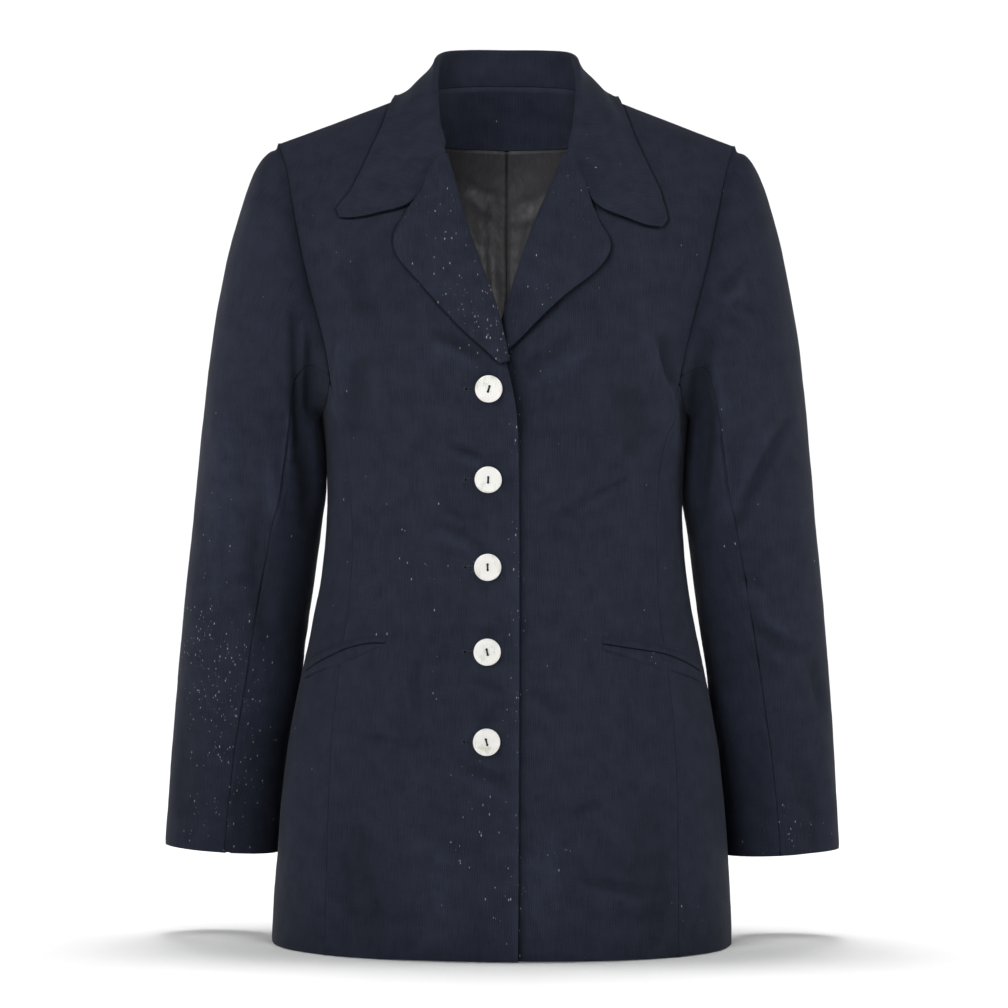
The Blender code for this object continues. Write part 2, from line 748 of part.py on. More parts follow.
def make_side(side):
    """The panel under the arm, from the front seam round to the back seam."""
    name = "side_right" if side == "R" else "side_left"
    columns = 8
    rows = 15
    top_first = ARMHOLE[FRONT_SEAM_KNOT][0]
    top_last = ARMHOLE[BACK_SEAM_KNOT][0]
    face = []
    back = []
    for i in range(rows + 1):
        v = i / rows
        face.append([])
        back.append([])
        for j in range(columns + 1):
            u = j / columns
            top_angle, top_z = armhole_share(FRONT_SEAM_KNOT, BACK_SEAM_KNOT, u)
            z = mix(HEM_Z, top_z, v)
            front_x = curve(column(FRONT_SEAM, 0), column(FRONT_SEAM, 1), z)
            back_x = curve(column(BACK_SEAM, 0), column(BACK_SEAM, 1), z)
            first = angle_of(front_x + SEAM_GAP / 2.0, z, "front")
            last = angle_of(back_x + SEAM_GAP / 2.0, z, "back")
            along = (top_angle - top_first) / (top_last - top_first)
            angle = mix(first, last, mix(u, along, ramp(v, 0.6, 1.0)))
            point = angle_point(angle, z)
            normal = angle_normal(angle, z)
            where = "front" if angle <= 90.0 else "back"
            fold = fold_height(point[0], z, side, where)
            face[-1].append(point + normal * fold)
            back[-1].append(point + normal * (fold - CLOTH))
    cloth(name, face, back, "navy", side == "R")


# ---------------------------------------------------------------- folded pieces
def roll_section(fold, inside, fall, radius):
    """The visible face of a folded strip: up from the inside points, round the fold, and out.

    fold is the top of the fold. inside and fall are lists of points on the two legs, each
    given from the fold outwards.
    """
    into = unit(inside[0] - fold)
    out = unit(fall[0] - fold)
    crest = -unit(into + out)
    sideways = unit(out - into)
    centre = fold - crest * radius
    arc = []
    for i in range(ROLL_TURNS + 1):
        angle = mix(-ROLL_REACH, ROLL_REACH, i / ROLL_TURNS) * RAD
        arc.append(centre + radius * (crest * math.cos(angle) + sideways * math.sin(angle)))
    return list(reversed(inside)) + arc + fall


def grid_normals(grid):
    grid = np.asarray(grid, float)
    along = np.gradient(grid, axis=0)
    across = np.gradient(grid, axis=1)
    normals = np.cross(across, along)
    return normals / np.linalg.norm(normals, axis=2, keepdims=True)


def folded_cloth(name, grid, thick, kind, mirror, flip):
    grid = np.asarray(grid, float)
    normals = grid_normals(grid) * (-1.0 if flip else 1.0)
    return cloth(name, grid, grid - normals * thick, kind, mirror)


def lapel_fall_points(side, roll, edge, steps):
    """Points over the front from the roll to the lapel's outer edge."""
    points = []
    for i in range(1, steps + 1):
        t = mix(0.10, 1.0, (i - 1) / (steps - 1)) if steps > 1 else 1.0
        x, z = mix(roll, edge, t)
        lift = LAYER_GAP + DOUBLE + 0.0012 * t + 0.0016 * math.sin(math.pi * t) ** 2
        points.append(on_body(x, z, "front", side, lift))
    return points


def make_lapel(side):
    """The turned-back top of the front, wrapped round the front's edge."""
    name = "lapel_right" if side == "R" else "lapel_left"
    edge_table = RIGHT_EDGE if side == "R" else LEFT_EDGE
    outer = RIGHT_LAPEL if side == "R" else LEFT_LAPEL
    rows = 16
    low = outer[-1][1] + LAPEL_END_RISE
    heights = [z for z in column(edge_table, 0) if low < z <= GORGE_Z]
    roll_line = [(curve(column(edge_table, 0), column(edge_table, 1), z), z)
                 for z in [low] + heights][::-1]
    grid = []
    for i in range(rows + 1):
        share = i / rows
        roll = path_point(roll_line, share) + np.array(GORGE_ROOM_ROLL) * (1.0 - share)
        edge = path_point(outer, share**0.92) + np.array(GORGE_ROOM_NOTCH) * (1.0 - share)
        full = min(1.0, (edge[0] - roll[0]) / 0.020)
        fold = on_body(roll[0], roll[1], "front", side, -CLOTH / 2.0)
        inside = [on_body(roll[0] + RETURN * s * full, roll[1], "front", side,
                          -CLOTH - LAYER_GAP - DOUBLE) for s in (0.5, 1.0)]
        start = roll + np.array([ROLL_RADIUS * full, 0.0])
        fall = lapel_fall_points(side, start, edge, 8)
        grid.append(roll_section(fold, inside, fall, ROLL_RADIUS * mix(0.6, 1.0, full)))
    folded_cloth(name, grid, DOUBLE, "navy", side == "R", flip=False)


def collar_fall(side, fold, edge_xz, where, steps):
    """Points of the fall from the fold to its outer edge, clear of what it covers."""
    x1, z1 = edge_xz
    lift = COLLAR_LIFT + 0.0006
    end = on_body(x1, z1, where, side, lift)
    points = []
    for i in range(1, steps + 1):
        t = mix(0.10, 1.0, (i - 1) / (steps - 1))
        point = mix(fold, end, t)
        bow = 0.0035 * math.sin(math.pi * t)
        outward = unit(np.array([point[0], point[1] * 0.6, 0.03]))
        point = point + outward * bow
        points.append(clear_of_body(point, where, lift))
    return points


def clear_of_body(point, where, lift):
    """Moves a point out along the panel's normal where it would come nearer than lift."""
    x = point[0]
    level = min(point[2], ridge_z(x) - 0.003)
    outward = face_normal(x, level, where)
    short = lift - float((point - body_point(x, level, where)) @ outward)
    return point + outward * max(short, 0.0)


def end_lift(t):
    """How far the collar's front end stands off the front, from the roll to the point."""
    return LAYER_GAP + DOUBLE + 0.0012 * t + 0.0012 * math.sin(math.pi * t) ** 2


def collar_end_line(side, steps):
    """The front end of the collar, from the roll line along the gorge to the point."""
    table = RIGHT_COLLAR_END if side == "R" else LEFT_COLLAR_END
    points = []
    for i in range(1, steps + 1):
        t = mix(0.08, 1.0, 1.0 - (1.0 - (i - 1) / (steps - 1)) ** 1.35)
        x, z = path_point(table, t)
        points.append(on_body(x, z, "front", side, end_lift((i - 1) / (steps - 1))))
    return points


def collar_rows(side):
    """Sections of one half of the collar, from the centre back to its front end."""
    rows = []
    knots = list(range(len(COLLAR)))
    for i in range(COLLAR_ROWS + 1):
        at = i / COLLAR_ROWS * (len(COLLAR) - 1)
        fx, fy, fz, sx, sz, ex, ez = [curve(knots, column(COLLAR, n), at)
                                      for n in (0, 1, 2, 3, 4, 6, 7)]
        where = COLLAR[int(round(at))][5]
        fold = np.array([fx, fy, fz])
        if where == "back":
            seam = body_point(sx, sz, "back") - face_normal(sx, sz, "back") * (CLOTH + DOUBLE)
            seam[2] = sz + SEAM_GAP
        else:
            seam = on_body(sx, sz, "front", side, -CLOTH - LAYER_GAP - DOUBLE)
        inside = [mix(fold, seam, 0.35), mix(fold, seam, 0.68), seam]
        edge_where = COLLAR[int(round(at))][8]
        edge = (ex, min(ez, ridge_z(ex) - SEAM_GAP))
        fall = collar_fall(side, fold, edge, edge_where, COLLAR_STEPS)
        rows.append(roll_section(fold, inside, fall, ROLL_RADIUS))
    end = collar_end_line(side, COLLAR_STEPS)
    table = RIGHT_COLLAR_END if side == "R" else LEFT_COLLAR_END
    x, z = table[0]
    fold = on_body(x, z, "front", side, -CLOTH / 2.0)
    inside = [on_body(x + 0.0031 * k, z, "front", side, -CLOTH - LAYER_GAP - DOUBLE)
              for k in (0.8, 1.6, 2.6)]
    last = roll_section(fold, inside, end, ROLL_RADIUS)
    before = rows[-1]
    for i in range(1, COLLAR_END_ROWS + 1):
        share = i / COLLAR_END_ROWS
        row = [mix(a, b, share) for a, b in zip(before, last)]
        first = len(row) - COLLAR_STEPS
        for k in range(first, len(row)):
            lift = end_lift((k - first) / (COLLAR_STEPS - 1))
            settled = on_body(row[k][0], row[k][2], "front", side, lift)
            row[k] = mix(row[k], settled, ramp(share, 0.2, 0.8))
        rows.append(row)
    return rows


def make_collar():
    right = collar_rows("R")
    left = collar_rows("L")
    mirrored = [[p * np.array([-1.0, 1.0, 1.0]) for p in row] for row in right]
    grid = np.array(list(reversed(mirrored)) + left[1:])
    for _ in range(COLLAR_EASE):
        calm = 0.25 * grid[:-2] + 0.5 * grid[1:-1] + 0.25 * grid[2:]
        ends = COLLAR_END_ROWS + 2
        first = grid.shape[1] - COLLAR_STEPS + 1
        for r in range(ends, len(grid) - ends):
            for c in range(first, grid.shape[1]):
                x, y, z = calm[r - 1, c]
                where = "front" if y < ridge_y(x) else "back"
                clear = clear_of_body(np.array([abs(x), y, z]), where, COLLAR_LIFT)
                grid[r, c] = clear * np.array([1.0 if x >= 0 else -1.0, 1.0, 1.0])
    folded_cloth("collar", grid, DOUBLE, "navy", False, flip=True)


def make_facing():
    """The band inside the back of the neck."""
    columns = 18
    rows = 4
    reach = 0.104
    places = []
    for i in range(rows + 1):
        places.append([])
        for j in range(columns + 1):
            x = mix(-reach, reach, j / columns)
            top = facing_top(abs(x))
            low = facing_low(abs(x)) + SEAM_GAP / 2.0
            z = mix(min(low, top - 0.004), top, i / rows)
            places[-1].append((x, z, "back"))
    face = []
    back = []
    for row in places:
        face.append([plain_back(x, z, -CLOTH - LINING_SLACK - LINING) for x, z, w in row])
        back.append([plain_back(x, z, -CLOTH - LINING_SLACK) for x, z, w in row])
    cloth("back_neck_facing", face, back, "navy", False)


def plain_back(x, z, out):
    point = body_point(abs(x), z, "back") + face_normal(abs(x), z, "back") * out
    return point * np.array([1.0 if x >= 0 else -1.0, 1.0, 1.0])


def lining_top(x):
    if x <= 0.112:
        return min(facing_low(x) - LINING_DROP, ridge_z(x) - LINING_SHOULDER)
    return ridge_z(x) - LINING_SHOULDER


def make_lining(side):
    """One half of the back lining, with the soft pleat at the centre back."""
    name = "lining_right" if side == "R" else "lining_left"
    places = back_places(columns=8, low_rows=12, high_rows=8, inset=0.0030,
                         hem=HEM_Z + LINING_HEM, top_edge=lining_top)

    def pleat(x, z):
        return -0.0032 * math.exp(-(((x - 0.004) / 0.006) ** 2))

    body_wall(name, places, side, LINING, sink=CLOTH + LINING_SLACK, kind="satin", lift=pleat)


# ---------------------------------------------------------------- sleeves
def armhole_loop(angle):
    """A point of the armhole by the sleeve's own angle: 0 at the shoulder, 180 under the arm."""
    if angle <= 180.0:
        round_angle, z = armhole_share(0, UNDERARM_KNOT, angle / 180.0)
    else:
        last = len(ARMHOLE) - 1
        round_angle, z = armhole_share(UNDERARM_KNOT, last, (angle - 180.0) / 180.0)
    return angle_point(round_angle, z)


def oval(outer, inner, front, back, angle):
    middle = (outer + inner) / 2.0
    arm = (outer - inner) / 2.0
    reach = -front if angle <= 180.0 else back
    depth = -math.sin(angle * RAD) * abs(reach)
    point = middle + arm * math.cos(angle * RAD)
    return np.array([point[0], depth, point[1]])


def sleeve_ring(ring, angle):
    """A point of the sleeve: ring 0 is the armhole, the others are the rows of SLEEVE."""
    shoulder = np.array([SHOULDER_X, SHOULDER_END_Z])
    underarm = armhole_loop(180.0)[[0, 2]]
    edge = armhole_loop(angle)
    seam_oval = oval(shoulder, underarm, -0.056, 0.046, angle)
    off = edge - seam_oval
    if ring == 0:
        low = max(0.0, -math.cos(angle * RAD))
        return edge + np.array([SLEEVE_GAP + UNDERARM_GAP * low, 0.0, 0.0])
    ox, oz, ix, iz, front, back = SLEEVE[ring - 1]
    fade = (0.55, 0.25, 0.10, 0.03)
    keep = fade[ring - 1] if ring <= len(fade) else 0.0
    centre_y = (front + back) / 2.0 * ramp(ring, 3, 9)
    half_front = front - centre_y
    half_back = back - centre_y
    point = oval(np.array([ox, oz]), np.array([ix, iz]), half_front, half_back, angle)
    return point + np.array([0.0, centre_y, 0.0]) + off * keep


def seam_angle(table, ring):
    rings = np.linspace(0.0, len(SLEEVE), len(table))
    return curve(rings, table, ring)


def sleeve_face(side, first, last, columns):
    """Points and wall directions of a sleeve piece between two seam angles."""
    grid = []
    back = []
    for ring in range(len(SLEEVE) + 1):
        start = first(ring)
        end = last(ring)
        grid.append([])
        back.append([])
        for j in range(columns + 1):
            angle = mix(start, end, j / columns)
            if start < 0.0:
                angle = min(start * (1.0 - 2.0 * j / columns), 0.0)
                angle += end * max(2.0 * j / columns - 1.0, 0.0)
            point = sleeve_ring(ring, angle % 360.0)
            ahead = sleeve_ring(ring, (angle + 2.0) % 360.0)
            around = ahead - sleeve_ring(ring, (angle - 2.0) % 360.0)
            low = max(ring - 1, 0)
            high = min(ring + 1, len(SLEEVE))
            down = sleeve_ring(high, angle % 360.0) - sleeve_ring(low, angle % 360.0)
            normal = unit(np.cross(down, around))
            fold = fold_height(point[0], point[2], side, "sleeve") * max(0.0, -normal[1])
            grid[-1].append(point + normal * fold)
            back[-1].append(point + normal * (fold - CLOTH))
    return grid, back


def make_sleeve(side):
    """The upper sleeve over the arm and the under sleeve beside the body."""
    word = "right" if side == "R" else "left"
    gap = 0.25

    def front(ring):
        return seam_angle(SLEEVE_FRONT_SEAM, ring)

    def rear(ring):
        return 360.0 - seam_angle(SLEEVE_BACK_SEAM, ring)

    over = sleeve_face(side, lambda r: rear(r) - 360.0 + gap, lambda r: front(r) - gap, 14)
    under = sleeve_face(side, lambda r: front(r) + gap, lambda r: rear(r) - gap, 8)
    cloth("upper_sleeve_" + word, over[0], over[1], "navy", side == "R")
    cloth("under_sleeve_" + word, under[0], under[1], "navy", side == "R")


# ---------------------------------------------------------------- pockets and buttons
def make_pocket(side):
    word = "right" if side == "R" else "left"
    columns = 12
    table = RIGHT_POCKET if side == "R" else LEFT_POCKET
    xs = column(table, 0)
    for kind in ("upper", "lower"):
        face = []
        back = []
        for i in range(3):
            face.append([])
            back.append([])
            for j in range(columns + 1):
                x = mix(xs[0], xs[-1], j / columns)
                mouth = curve(xs, column(table, 1), x)
                deep = curve(xs, column(table, 2 if kind == "upper" else 3), x)
                sign = 1.0 if kind == "upper" else -1.0
                z = mouth + sign * mix(SEAM_GAP, deep, i / 2.0)
                angle = angle_of(x, z, "front")
                point = angle_point(angle, z)
                normal = angle_normal(angle, z)
                lift = fold_height(x, z, side, "front") + WELT_LIFT
                crown = 0.0005 if i == 1 else 0.0
                face[-1].append(point + normal * (lift + WELT_THICK + crown))
                back[-1].append(point + normal * lift)
        cloth("pocket_" + kind + "_" + word, face, back, "navy", side == "R")


def make_button_mesh():
    """A flat round button with a soft rim and two holes, its face towards +Z."""
    half = BUTTON_THICK / 2.0
    profile = (
        (0.0, half * 0.55),
        (BUTTON_RADIUS * 0.62, half * 0.62),
        (BUTTON_RADIUS * 0.80, half),
        (BUTTON_RADIUS * 0.96, half * 0.80),
        (BUTTON_RADIUS, 0.0),
        (BUTTON_RADIUS * 0.92, -half * 0.9),
        (0.0, -half),
    )
    work = bmesh.new()
    rings = []
    for radius, height in profile:
        if radius == 0.0:
            rings.append([work.verts.new((0.0, 0.0, height))])
            continue
        ring = []
        for i in range(BUTTON_SIDES):
            angle = 2.0 * math.pi * i / BUTTON_SIDES
            ring.append(work.verts.new((radius * math.cos(angle), radius * math.sin(angle), height)))
        rings.append(ring)
    for upper, lower in zip(rings, rings[1:]):
        for i in range(BUTTON_SIDES):
            n = (i + 1) % BUTTON_SIDES
            if len(upper) == 1:
                work.faces.new((upper[0], lower[i], lower[n]))
            elif len(lower) == 1:
                work.faces.new((upper[i], lower[0], upper[n]))
            else:
                work.faces.new((upper[i], lower[i], lower[n], upper[n]))
    bmesh.ops.recalc_face_normals(work, faces=work.faces)
    mesh = bpy.data.meshes.new("button")
    work.to_mesh(mesh)
    work.free()
    return mesh


def hole_cutter():
    """Two pins that cut the button's holes."""
    work = bmesh.new()
    for offset in (-HOLE_PITCH / 2.0, HOLE_PITCH / 2.0):
        place = Matrix.Translation((0.0, offset, 0.0))
        bmesh.ops.create_cone(work, cap_ends=True, segments=8, radius1=HOLE_RADIUS,
                              radius2=HOLE_RADIUS, depth=BUTTON_THICK * 3.0, matrix=place)
    mesh = bpy.data.meshes.new("button_holes")
    work.to_mesh(mesh)
    work.free()
    item = bpy.data.objects.new("button_holes", mesh)
    bpy.context.scene.collection.objects.link(item)
    item.hide_render = True
    item.display_type = "WIRE"
    return item


def make_buttons():
    for number, (height, lean) in enumerate(zip(BUTTON_HEIGHTS, BUTTON_LEANS), start=1):
        name = "button_" + str(number)
        item = add_object(name, make_button_mesh(), "pearl")
        place = on_body(-BUTTON_X, height, "front", "R", BUTTON_LIFT + BUTTON_THICK / 2.0)
        facing = face_normal(-BUTTON_X, height, "front")
        facing[0] *= -1.0
        place[0] *= -1.0
        turn = Vector(facing).to_track_quat("Z", "Y")
        item.rotation_mode = "QUATERNION"
        item.rotation_quaternion = turn
        item.location = Vector(place)
        item.data.transform(Matrix.Rotation(lean * RAD, 4, "Z"))
        cutter = hole_cutter()
        cutter.name = "button_holes_" + str(number)
        cutter.data.transform(Matrix.Rotation(lean * RAD, 4, "Z"))
        cutter.rotation_mode = "QUATERNION"
        cutter.rotation_quaternion = turn
        cutter.location = item.location
        cut = item.modifiers.new("holes", "BOOLEAN")
        cut.operation = "DIFFERENCE"
        cut.solver = "EXACT"
        cut.object = cutter


def main():
    clear_scene()
    for side in ("R", "L"):
        make_front(side)
        make_side(side)
        make_back(side)
        make_lining(side)
        make_sleeve(side)
        make_lapel(side)
        make_pocket(side)
    make_collar()
    make_facing()
    make_buttons()


main()
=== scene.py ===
# %% [markdown]
# # A navy suit jacket, worn by nobody
# The jacket stands filled out, as if someone were in it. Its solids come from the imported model: one
# thin wall for each piece that a tailor cuts. Here each wall becomes fine cloth. We keep the piece's
# outer face, unfold it into a paper pattern, make it smooth, sew its edges to its neighbours,
# press the creases in and give it its thickness back.

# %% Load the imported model
import math

import bmesh
import bpy
import numpy as np
from mathutils import Matrix, Quaternion, Vector, geometry, kdtree, noise
from mathutils.bvhtree import BVHTree


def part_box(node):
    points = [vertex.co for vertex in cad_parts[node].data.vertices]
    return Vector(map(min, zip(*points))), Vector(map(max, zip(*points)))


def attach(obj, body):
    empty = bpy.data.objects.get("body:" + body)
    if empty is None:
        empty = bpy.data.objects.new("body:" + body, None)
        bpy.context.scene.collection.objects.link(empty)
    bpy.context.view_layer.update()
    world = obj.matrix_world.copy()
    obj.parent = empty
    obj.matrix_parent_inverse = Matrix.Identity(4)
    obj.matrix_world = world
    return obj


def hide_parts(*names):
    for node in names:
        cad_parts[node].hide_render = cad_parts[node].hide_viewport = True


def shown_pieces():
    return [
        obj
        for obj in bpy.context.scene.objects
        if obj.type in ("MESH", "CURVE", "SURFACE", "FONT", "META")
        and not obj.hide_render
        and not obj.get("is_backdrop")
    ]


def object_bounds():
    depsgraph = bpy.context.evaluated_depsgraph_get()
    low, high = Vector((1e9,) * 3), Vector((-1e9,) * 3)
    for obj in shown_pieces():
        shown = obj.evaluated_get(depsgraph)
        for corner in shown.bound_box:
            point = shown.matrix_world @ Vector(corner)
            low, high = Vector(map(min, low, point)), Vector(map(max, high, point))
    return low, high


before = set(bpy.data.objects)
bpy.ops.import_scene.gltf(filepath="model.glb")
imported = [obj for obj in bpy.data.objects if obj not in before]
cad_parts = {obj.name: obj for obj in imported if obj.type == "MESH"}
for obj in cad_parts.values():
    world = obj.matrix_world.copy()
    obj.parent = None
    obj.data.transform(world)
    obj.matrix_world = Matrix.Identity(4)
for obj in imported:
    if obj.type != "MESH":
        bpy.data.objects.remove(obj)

cad_box = [list(corner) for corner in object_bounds()]
print("nodes:", len(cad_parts), "box:", [[round(x, 4) for x in c] for c in cad_box])

# %% [markdown]
# ## The camera
# The photograph was taken from straight in front, at half the jacket's height, with a long lens from
# nearly three metres away. A long lens keeps the sleeves and the collar in proportion. A short lens
# close by would swell whatever is nearest. The tiny roll is the photographer's.

# %% Place the camera
CAMERA_AT = (-0.0004, -2.8, -0.331)
CAMERA_LENS = 118.36            # millimetres, on a sensor 36 mm wide
CAMERA_ROLL = 0.0059            # radians


def show(name, data):
    """A new object in the scene that shows this data."""
    made = bpy.data.objects.new(name, data)
    bpy.context.scene.collection.objects.link(made)
    return made


lens = bpy.data.cameras.new("camera")
lens.lens = CAMERA_LENS
lens.sensor_width = 36.0
camera = show("camera", lens)
camera.location = CAMERA_AT
camera.rotation_mode = "QUATERNION"
looks_ahead = Vector((0, 1, 0)).to_track_quat("-Z", "Y")
camera.rotation_quaternion = looks_ahead @ Quaternion((0, 0, 1), CAMERA_ROLL)
bpy.context.scene.camera = camera
print("camera at", CAMERA_AT, "with a", CAMERA_LENS, "mm lens")

# %% [markdown]
# ## The studio
# A product photographer stands the jacket on white paper that runs up behind it in one curve, so that
# no corner shows. We sweep one line into that paper. Soft light comes from large panels: their size
# is what makes the shadows soft. The Standard view keeps white paper white.

# %% Roll out the paper
FLOOR_Z = cad_box[0][2] - 0.0006    # just below the hem
PAPER_HALF_WIDTH = 6.0
PAPER_NEAR = -5.0
PAPER_BEND = 2.2                # where the paper starts to rise
PAPER_RADIUS = 1.5
PAPER_TOP = 3.5
BEND_STEPS = 24


def paper_line():
    """The paper from the side: along the floor, round the bend and up."""
    points = [(PAPER_NEAR, FLOOR_Z)]
    for step in range(BEND_STEPS + 1):
        turn = math.radians(90.0 * step / BEND_STEPS)
        points.append((PAPER_BEND + PAPER_RADIUS * math.sin(turn),
                       FLOOR_Z + PAPER_RADIUS * (1.0 - math.cos(turn))))
    points.append((PAPER_BEND + PAPER_RADIUS, PAPER_TOP))
    return points


def mesh_object(name, points, faces):
    """A new object from points and faces, in the scene."""
    mesh = bpy.data.meshes.new(name)
    mesh.from_pydata([tuple(p) for p in points], [], faces)
    mesh.update()
    return show(name, mesh)


line = paper_line()
points = [(x, y, z) for y, z in line for x in (-PAPER_HALF_WIDTH, PAPER_HALF_WIDTH)]
faces = [(2 * n, 2 * n + 1, 2 * n + 3, 2 * n + 2) for n in range(len(line) - 1)]
paper = mesh_object("paper", points, faces)
paper.data.shade_smooth()
paper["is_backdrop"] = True
print("paper of", len(faces), "faces, floor at", round(FLOOR_Z, 4))

# %% [markdown]
# ## Three sets of lights
# The jacket is dark and the paper is white. One set of lights can't suit both, so a photographer
# lights the paper on its own. Blender does the same with light linking: a light can be told which
# objects receive it. One more light reaches only the facing and the lining inside the neck. A
# narrow spread keeps a light on its spot, as a grid over the lamp does. The jacket still throws its
# shadow on the paper, from the light overhead. The wings light the far ends of the paper, which show
# when the jacket is looked at from the side or from behind.

# %% Set the lights
LIGHTS = (       # name, place, what it points at, width, height, watts, spread in degrees, for what
    ("key", (-1.4, -2.5, 1.6), (0.0, 0.0, 0.08), 1.3, 1.5, 5.6, 48.0, "jacket"),
    ("side_left", (-2.6, -1.5, 1.2), (0.0, 0.0, -0.25), 1.3, 1.9, 24.2, 180.0, "jacket"),
    ("side_right", (2.7, -1.25, 1.3), (0.0, 0.0, -0.05), 1.2, 1.9, 6.9, 60.0, "jacket"),
    ("neck", (0.0, -2.9, 0.9), (0.0, 0.0, 0.0), 0.8, 0.8, 58.0, 180.0, "inside"),
    ("overhead", (0.0, 0.30, 2.4), (0.0, 0.0, -0.7), 0.8, 0.6, 56.0, 180.0, "paper"),
    ("near_paper", (0.0, -1.7, 2.4), (0.0, -0.3, -0.7), 2.4, 0.8, 36.0, 180.0, "paper"),
    ("far_left", (-2.8, 0.6, 1.8), (-0.4, 3.4, 0.0), 2.0, 2.0, 96.0, 180.0, "paper"),
    ("far_right", (2.8, 0.6, 1.8), (0.4, 3.4, 0.0), 2.0, 2.0, 96.0, 180.0, "paper"),
    ("wing_left", (-4.8, -1.0, 2.4), (-4.8, -1.0, -0.7), 5.2, 8.0, 160.0, 80.0, "paper"),
    ("wing_right", (4.8, -1.0, 2.4), (4.8, -1.0, -0.7), 5.2, 8.0, 160.0, 80.0, "paper"),
    ("wing_front", (0.0, -4.2, 2.4), (0.0, -4.2, -0.7), 5.0, 3.6, 88.0, 80.0, "paper"),
)
ROOM_WHITE = 0.95               # the far walls, seen only past the edges of the paper

lit_by = {what: bpy.data.collections.new(what) for what in ("jacket", "inside", "paper")}
lit_by["paper"].objects.link(paper)
for name, place, target, width, height, watts, spread, receiver in LIGHTS:
    panel = bpy.data.lights.new(name, "AREA")
    panel.shape = "RECTANGLE"
    panel.size = width
    panel.size_y = height
    panel.energy = watts
    panel.spread = math.radians(spread)
    light = show(name, panel)
    light.location = place
    light.rotation_euler = (Vector(target) - Vector(place)).to_track_quat("-Z", "Y").to_euler()
    light.light_linking.receiver_collection = lit_by[receiver]

room = bpy.data.worlds.new("room")
bpy.context.scene.world = room
room.use_nodes = True
walls = room.node_tree.nodes["Background"].inputs
walls["Color"].default_value = (1.0, 1.0, 1.0, 1.0)
walls["Strength"].default_value = ROOM_WHITE
room.cycles_visibility.diffuse = False    # they are too far off to light the jacket
room.cycles_visibility.glossy = False
bpy.context.scene.view_settings.view_transform = "Standard"
print(len(LIGHTS), "light panels in a room of strength", ROOM_WHITE)

# %% [markdown]
# ## Materials are built from nodes
# A material in Blender is a small machine of nodes. These helpers add a node, join two of them and
# mix numbers, so that each recipe below reads as a list of steps.

# %% Helpers for materials


class Recipe:
    """A material and short ways to add its nodes."""

    def __init__(self, name):
        self.material = bpy.data.materials.new(name)
        self.material.use_nodes = True
        self.tree = self.material.node_tree
        self.shader = self.tree.nodes["Principled BSDF"]

    def node(self, kind, settings=(), **values):
        """A node of that kind. Sockets are named with _ for a space."""
        made = self.tree.nodes.new("ShaderNode" + kind)
        for key, value in dict(settings).items():
            setattr(made, key, value)
        for key, value in values.items():
            self.feed(made.inputs[key.replace("_", " ")], value)
        return made

    def feed(self, socket, value):
        """A socket takes a link from another node's output, or a plain value."""
        if isinstance(value, bpy.types.NodeSocket):
            self.tree.links.new(value, socket)
        else:
            socket.default_value = value

    def math(self, operation, a, b):
        """One sum of two numbers."""
        made = self.node("Math", {"operation": operation})
        self.feed(made.inputs[0], a)
        self.feed(made.inputs[1], b)
        return made.outputs[0]

    def times(self, a, b):
        """a times b."""
        return self.math("MULTIPLY", a, b)

    def plus(self, a, b):
        """a plus b."""
        return self.math("ADD", a, b)

    def minus(self, a, b):
        """a minus b."""
        return self.math("SUBTRACT", a, b)

    def scaled(self, colour, share):
        """The colour made darker or lighter."""
        made = self.node("VectorMath", {"operation": "SCALE"}, Vector=colour, Scale=share)
        return made.outputs["Vector"]

    def ramp(self, value, low, high):
        """A smooth step from 0 at low to 1 at high."""
        made = self.node("MapRange", {"interpolation_type": "SMOOTHSTEP"}, Value=value)
        made.inputs["From Min"].default_value = low
        made.inputs["From Max"].default_value = high
        return made.outputs["Result"]

    def mix(self, share, a, b):
        """Colour a, going over to colour b as share goes from 0 to 1."""
        made = self.node("Mix", {"data_type": "RGBA"})
        self.feed(made.inputs[0], share)
        self.feed(made.inputs[6], a)
        self.feed(made.inputs[7], b)
        return made.outputs[2]

    def pattern(self):
        """The place on the unfolded pattern, in metres."""
        return self.node("UVMap", {"uv_map": "pattern"}).outputs["UV"]

    def place(self):
        """The place on the object, in metres."""
        return self.node("TexCoord").outputs["Object"]

    def noted(self, name):
        """A number that the mesh carries."""
        return self.node("Attribute", {"attribute_name": name}).outputs["Fac"]

    def stretched(self, place, across, along):
        """Coordinates that run faster across the cloth than along it."""
        made = self.node("Mapping", Vector=place)
        made.inputs["Scale"].default_value = (across, along, 1.0)
        return made.outputs["Vector"]

    def noise(self, place, scale, detail=2.0):
        """Soft noise from 0 to 1."""
        made = self.node("TexNoise", Vector=place, Scale=scale, Detail=detail)
        return made.outputs["Fac"]

    def wear(self, **values):
        """Plain values, set on the shader itself."""
        for key, value in values.items():
            self.shader.inputs[key.replace("_", " ")].default_value = value

    def paint(self, colour):
        """The colour of the surface."""
        self.feed(self.shader.inputs["Base Color"], colour)

    def emboss(self, height, strength, distance, under=None):
        """Bumps from a height, over the bumps under them."""
        made = self.node("Bump", Height=height, Strength=strength, Distance=distance)
        if under:
            self.feed(made.inputs["Normal"], under)
        self.feed(self.shader.inputs["Normal"], made.outputs["Normal"])
        return made.outputs["Normal"]


print("the recipe helper is ready")

# %% [markdown]
# ## The paper's finish
# Even white paper isn't one flat white. A faint fibre in the colour is enough.

# %% Mix the paper
PAPER_GREY = (0.78, 0.78, 0.78, 1.0)
PAPER_WHITE = (0.81, 0.81, 0.81, 1.0)

recipe = Recipe("white_paper")
recipe.paint(recipe.mix(recipe.noise(recipe.place(), 35.0, 3.0), PAPER_GREY, PAPER_WHITE))
recipe.wear(Roughness=0.9)
paper.data.materials.append(recipe.material)
print("made", recipe.material.name)

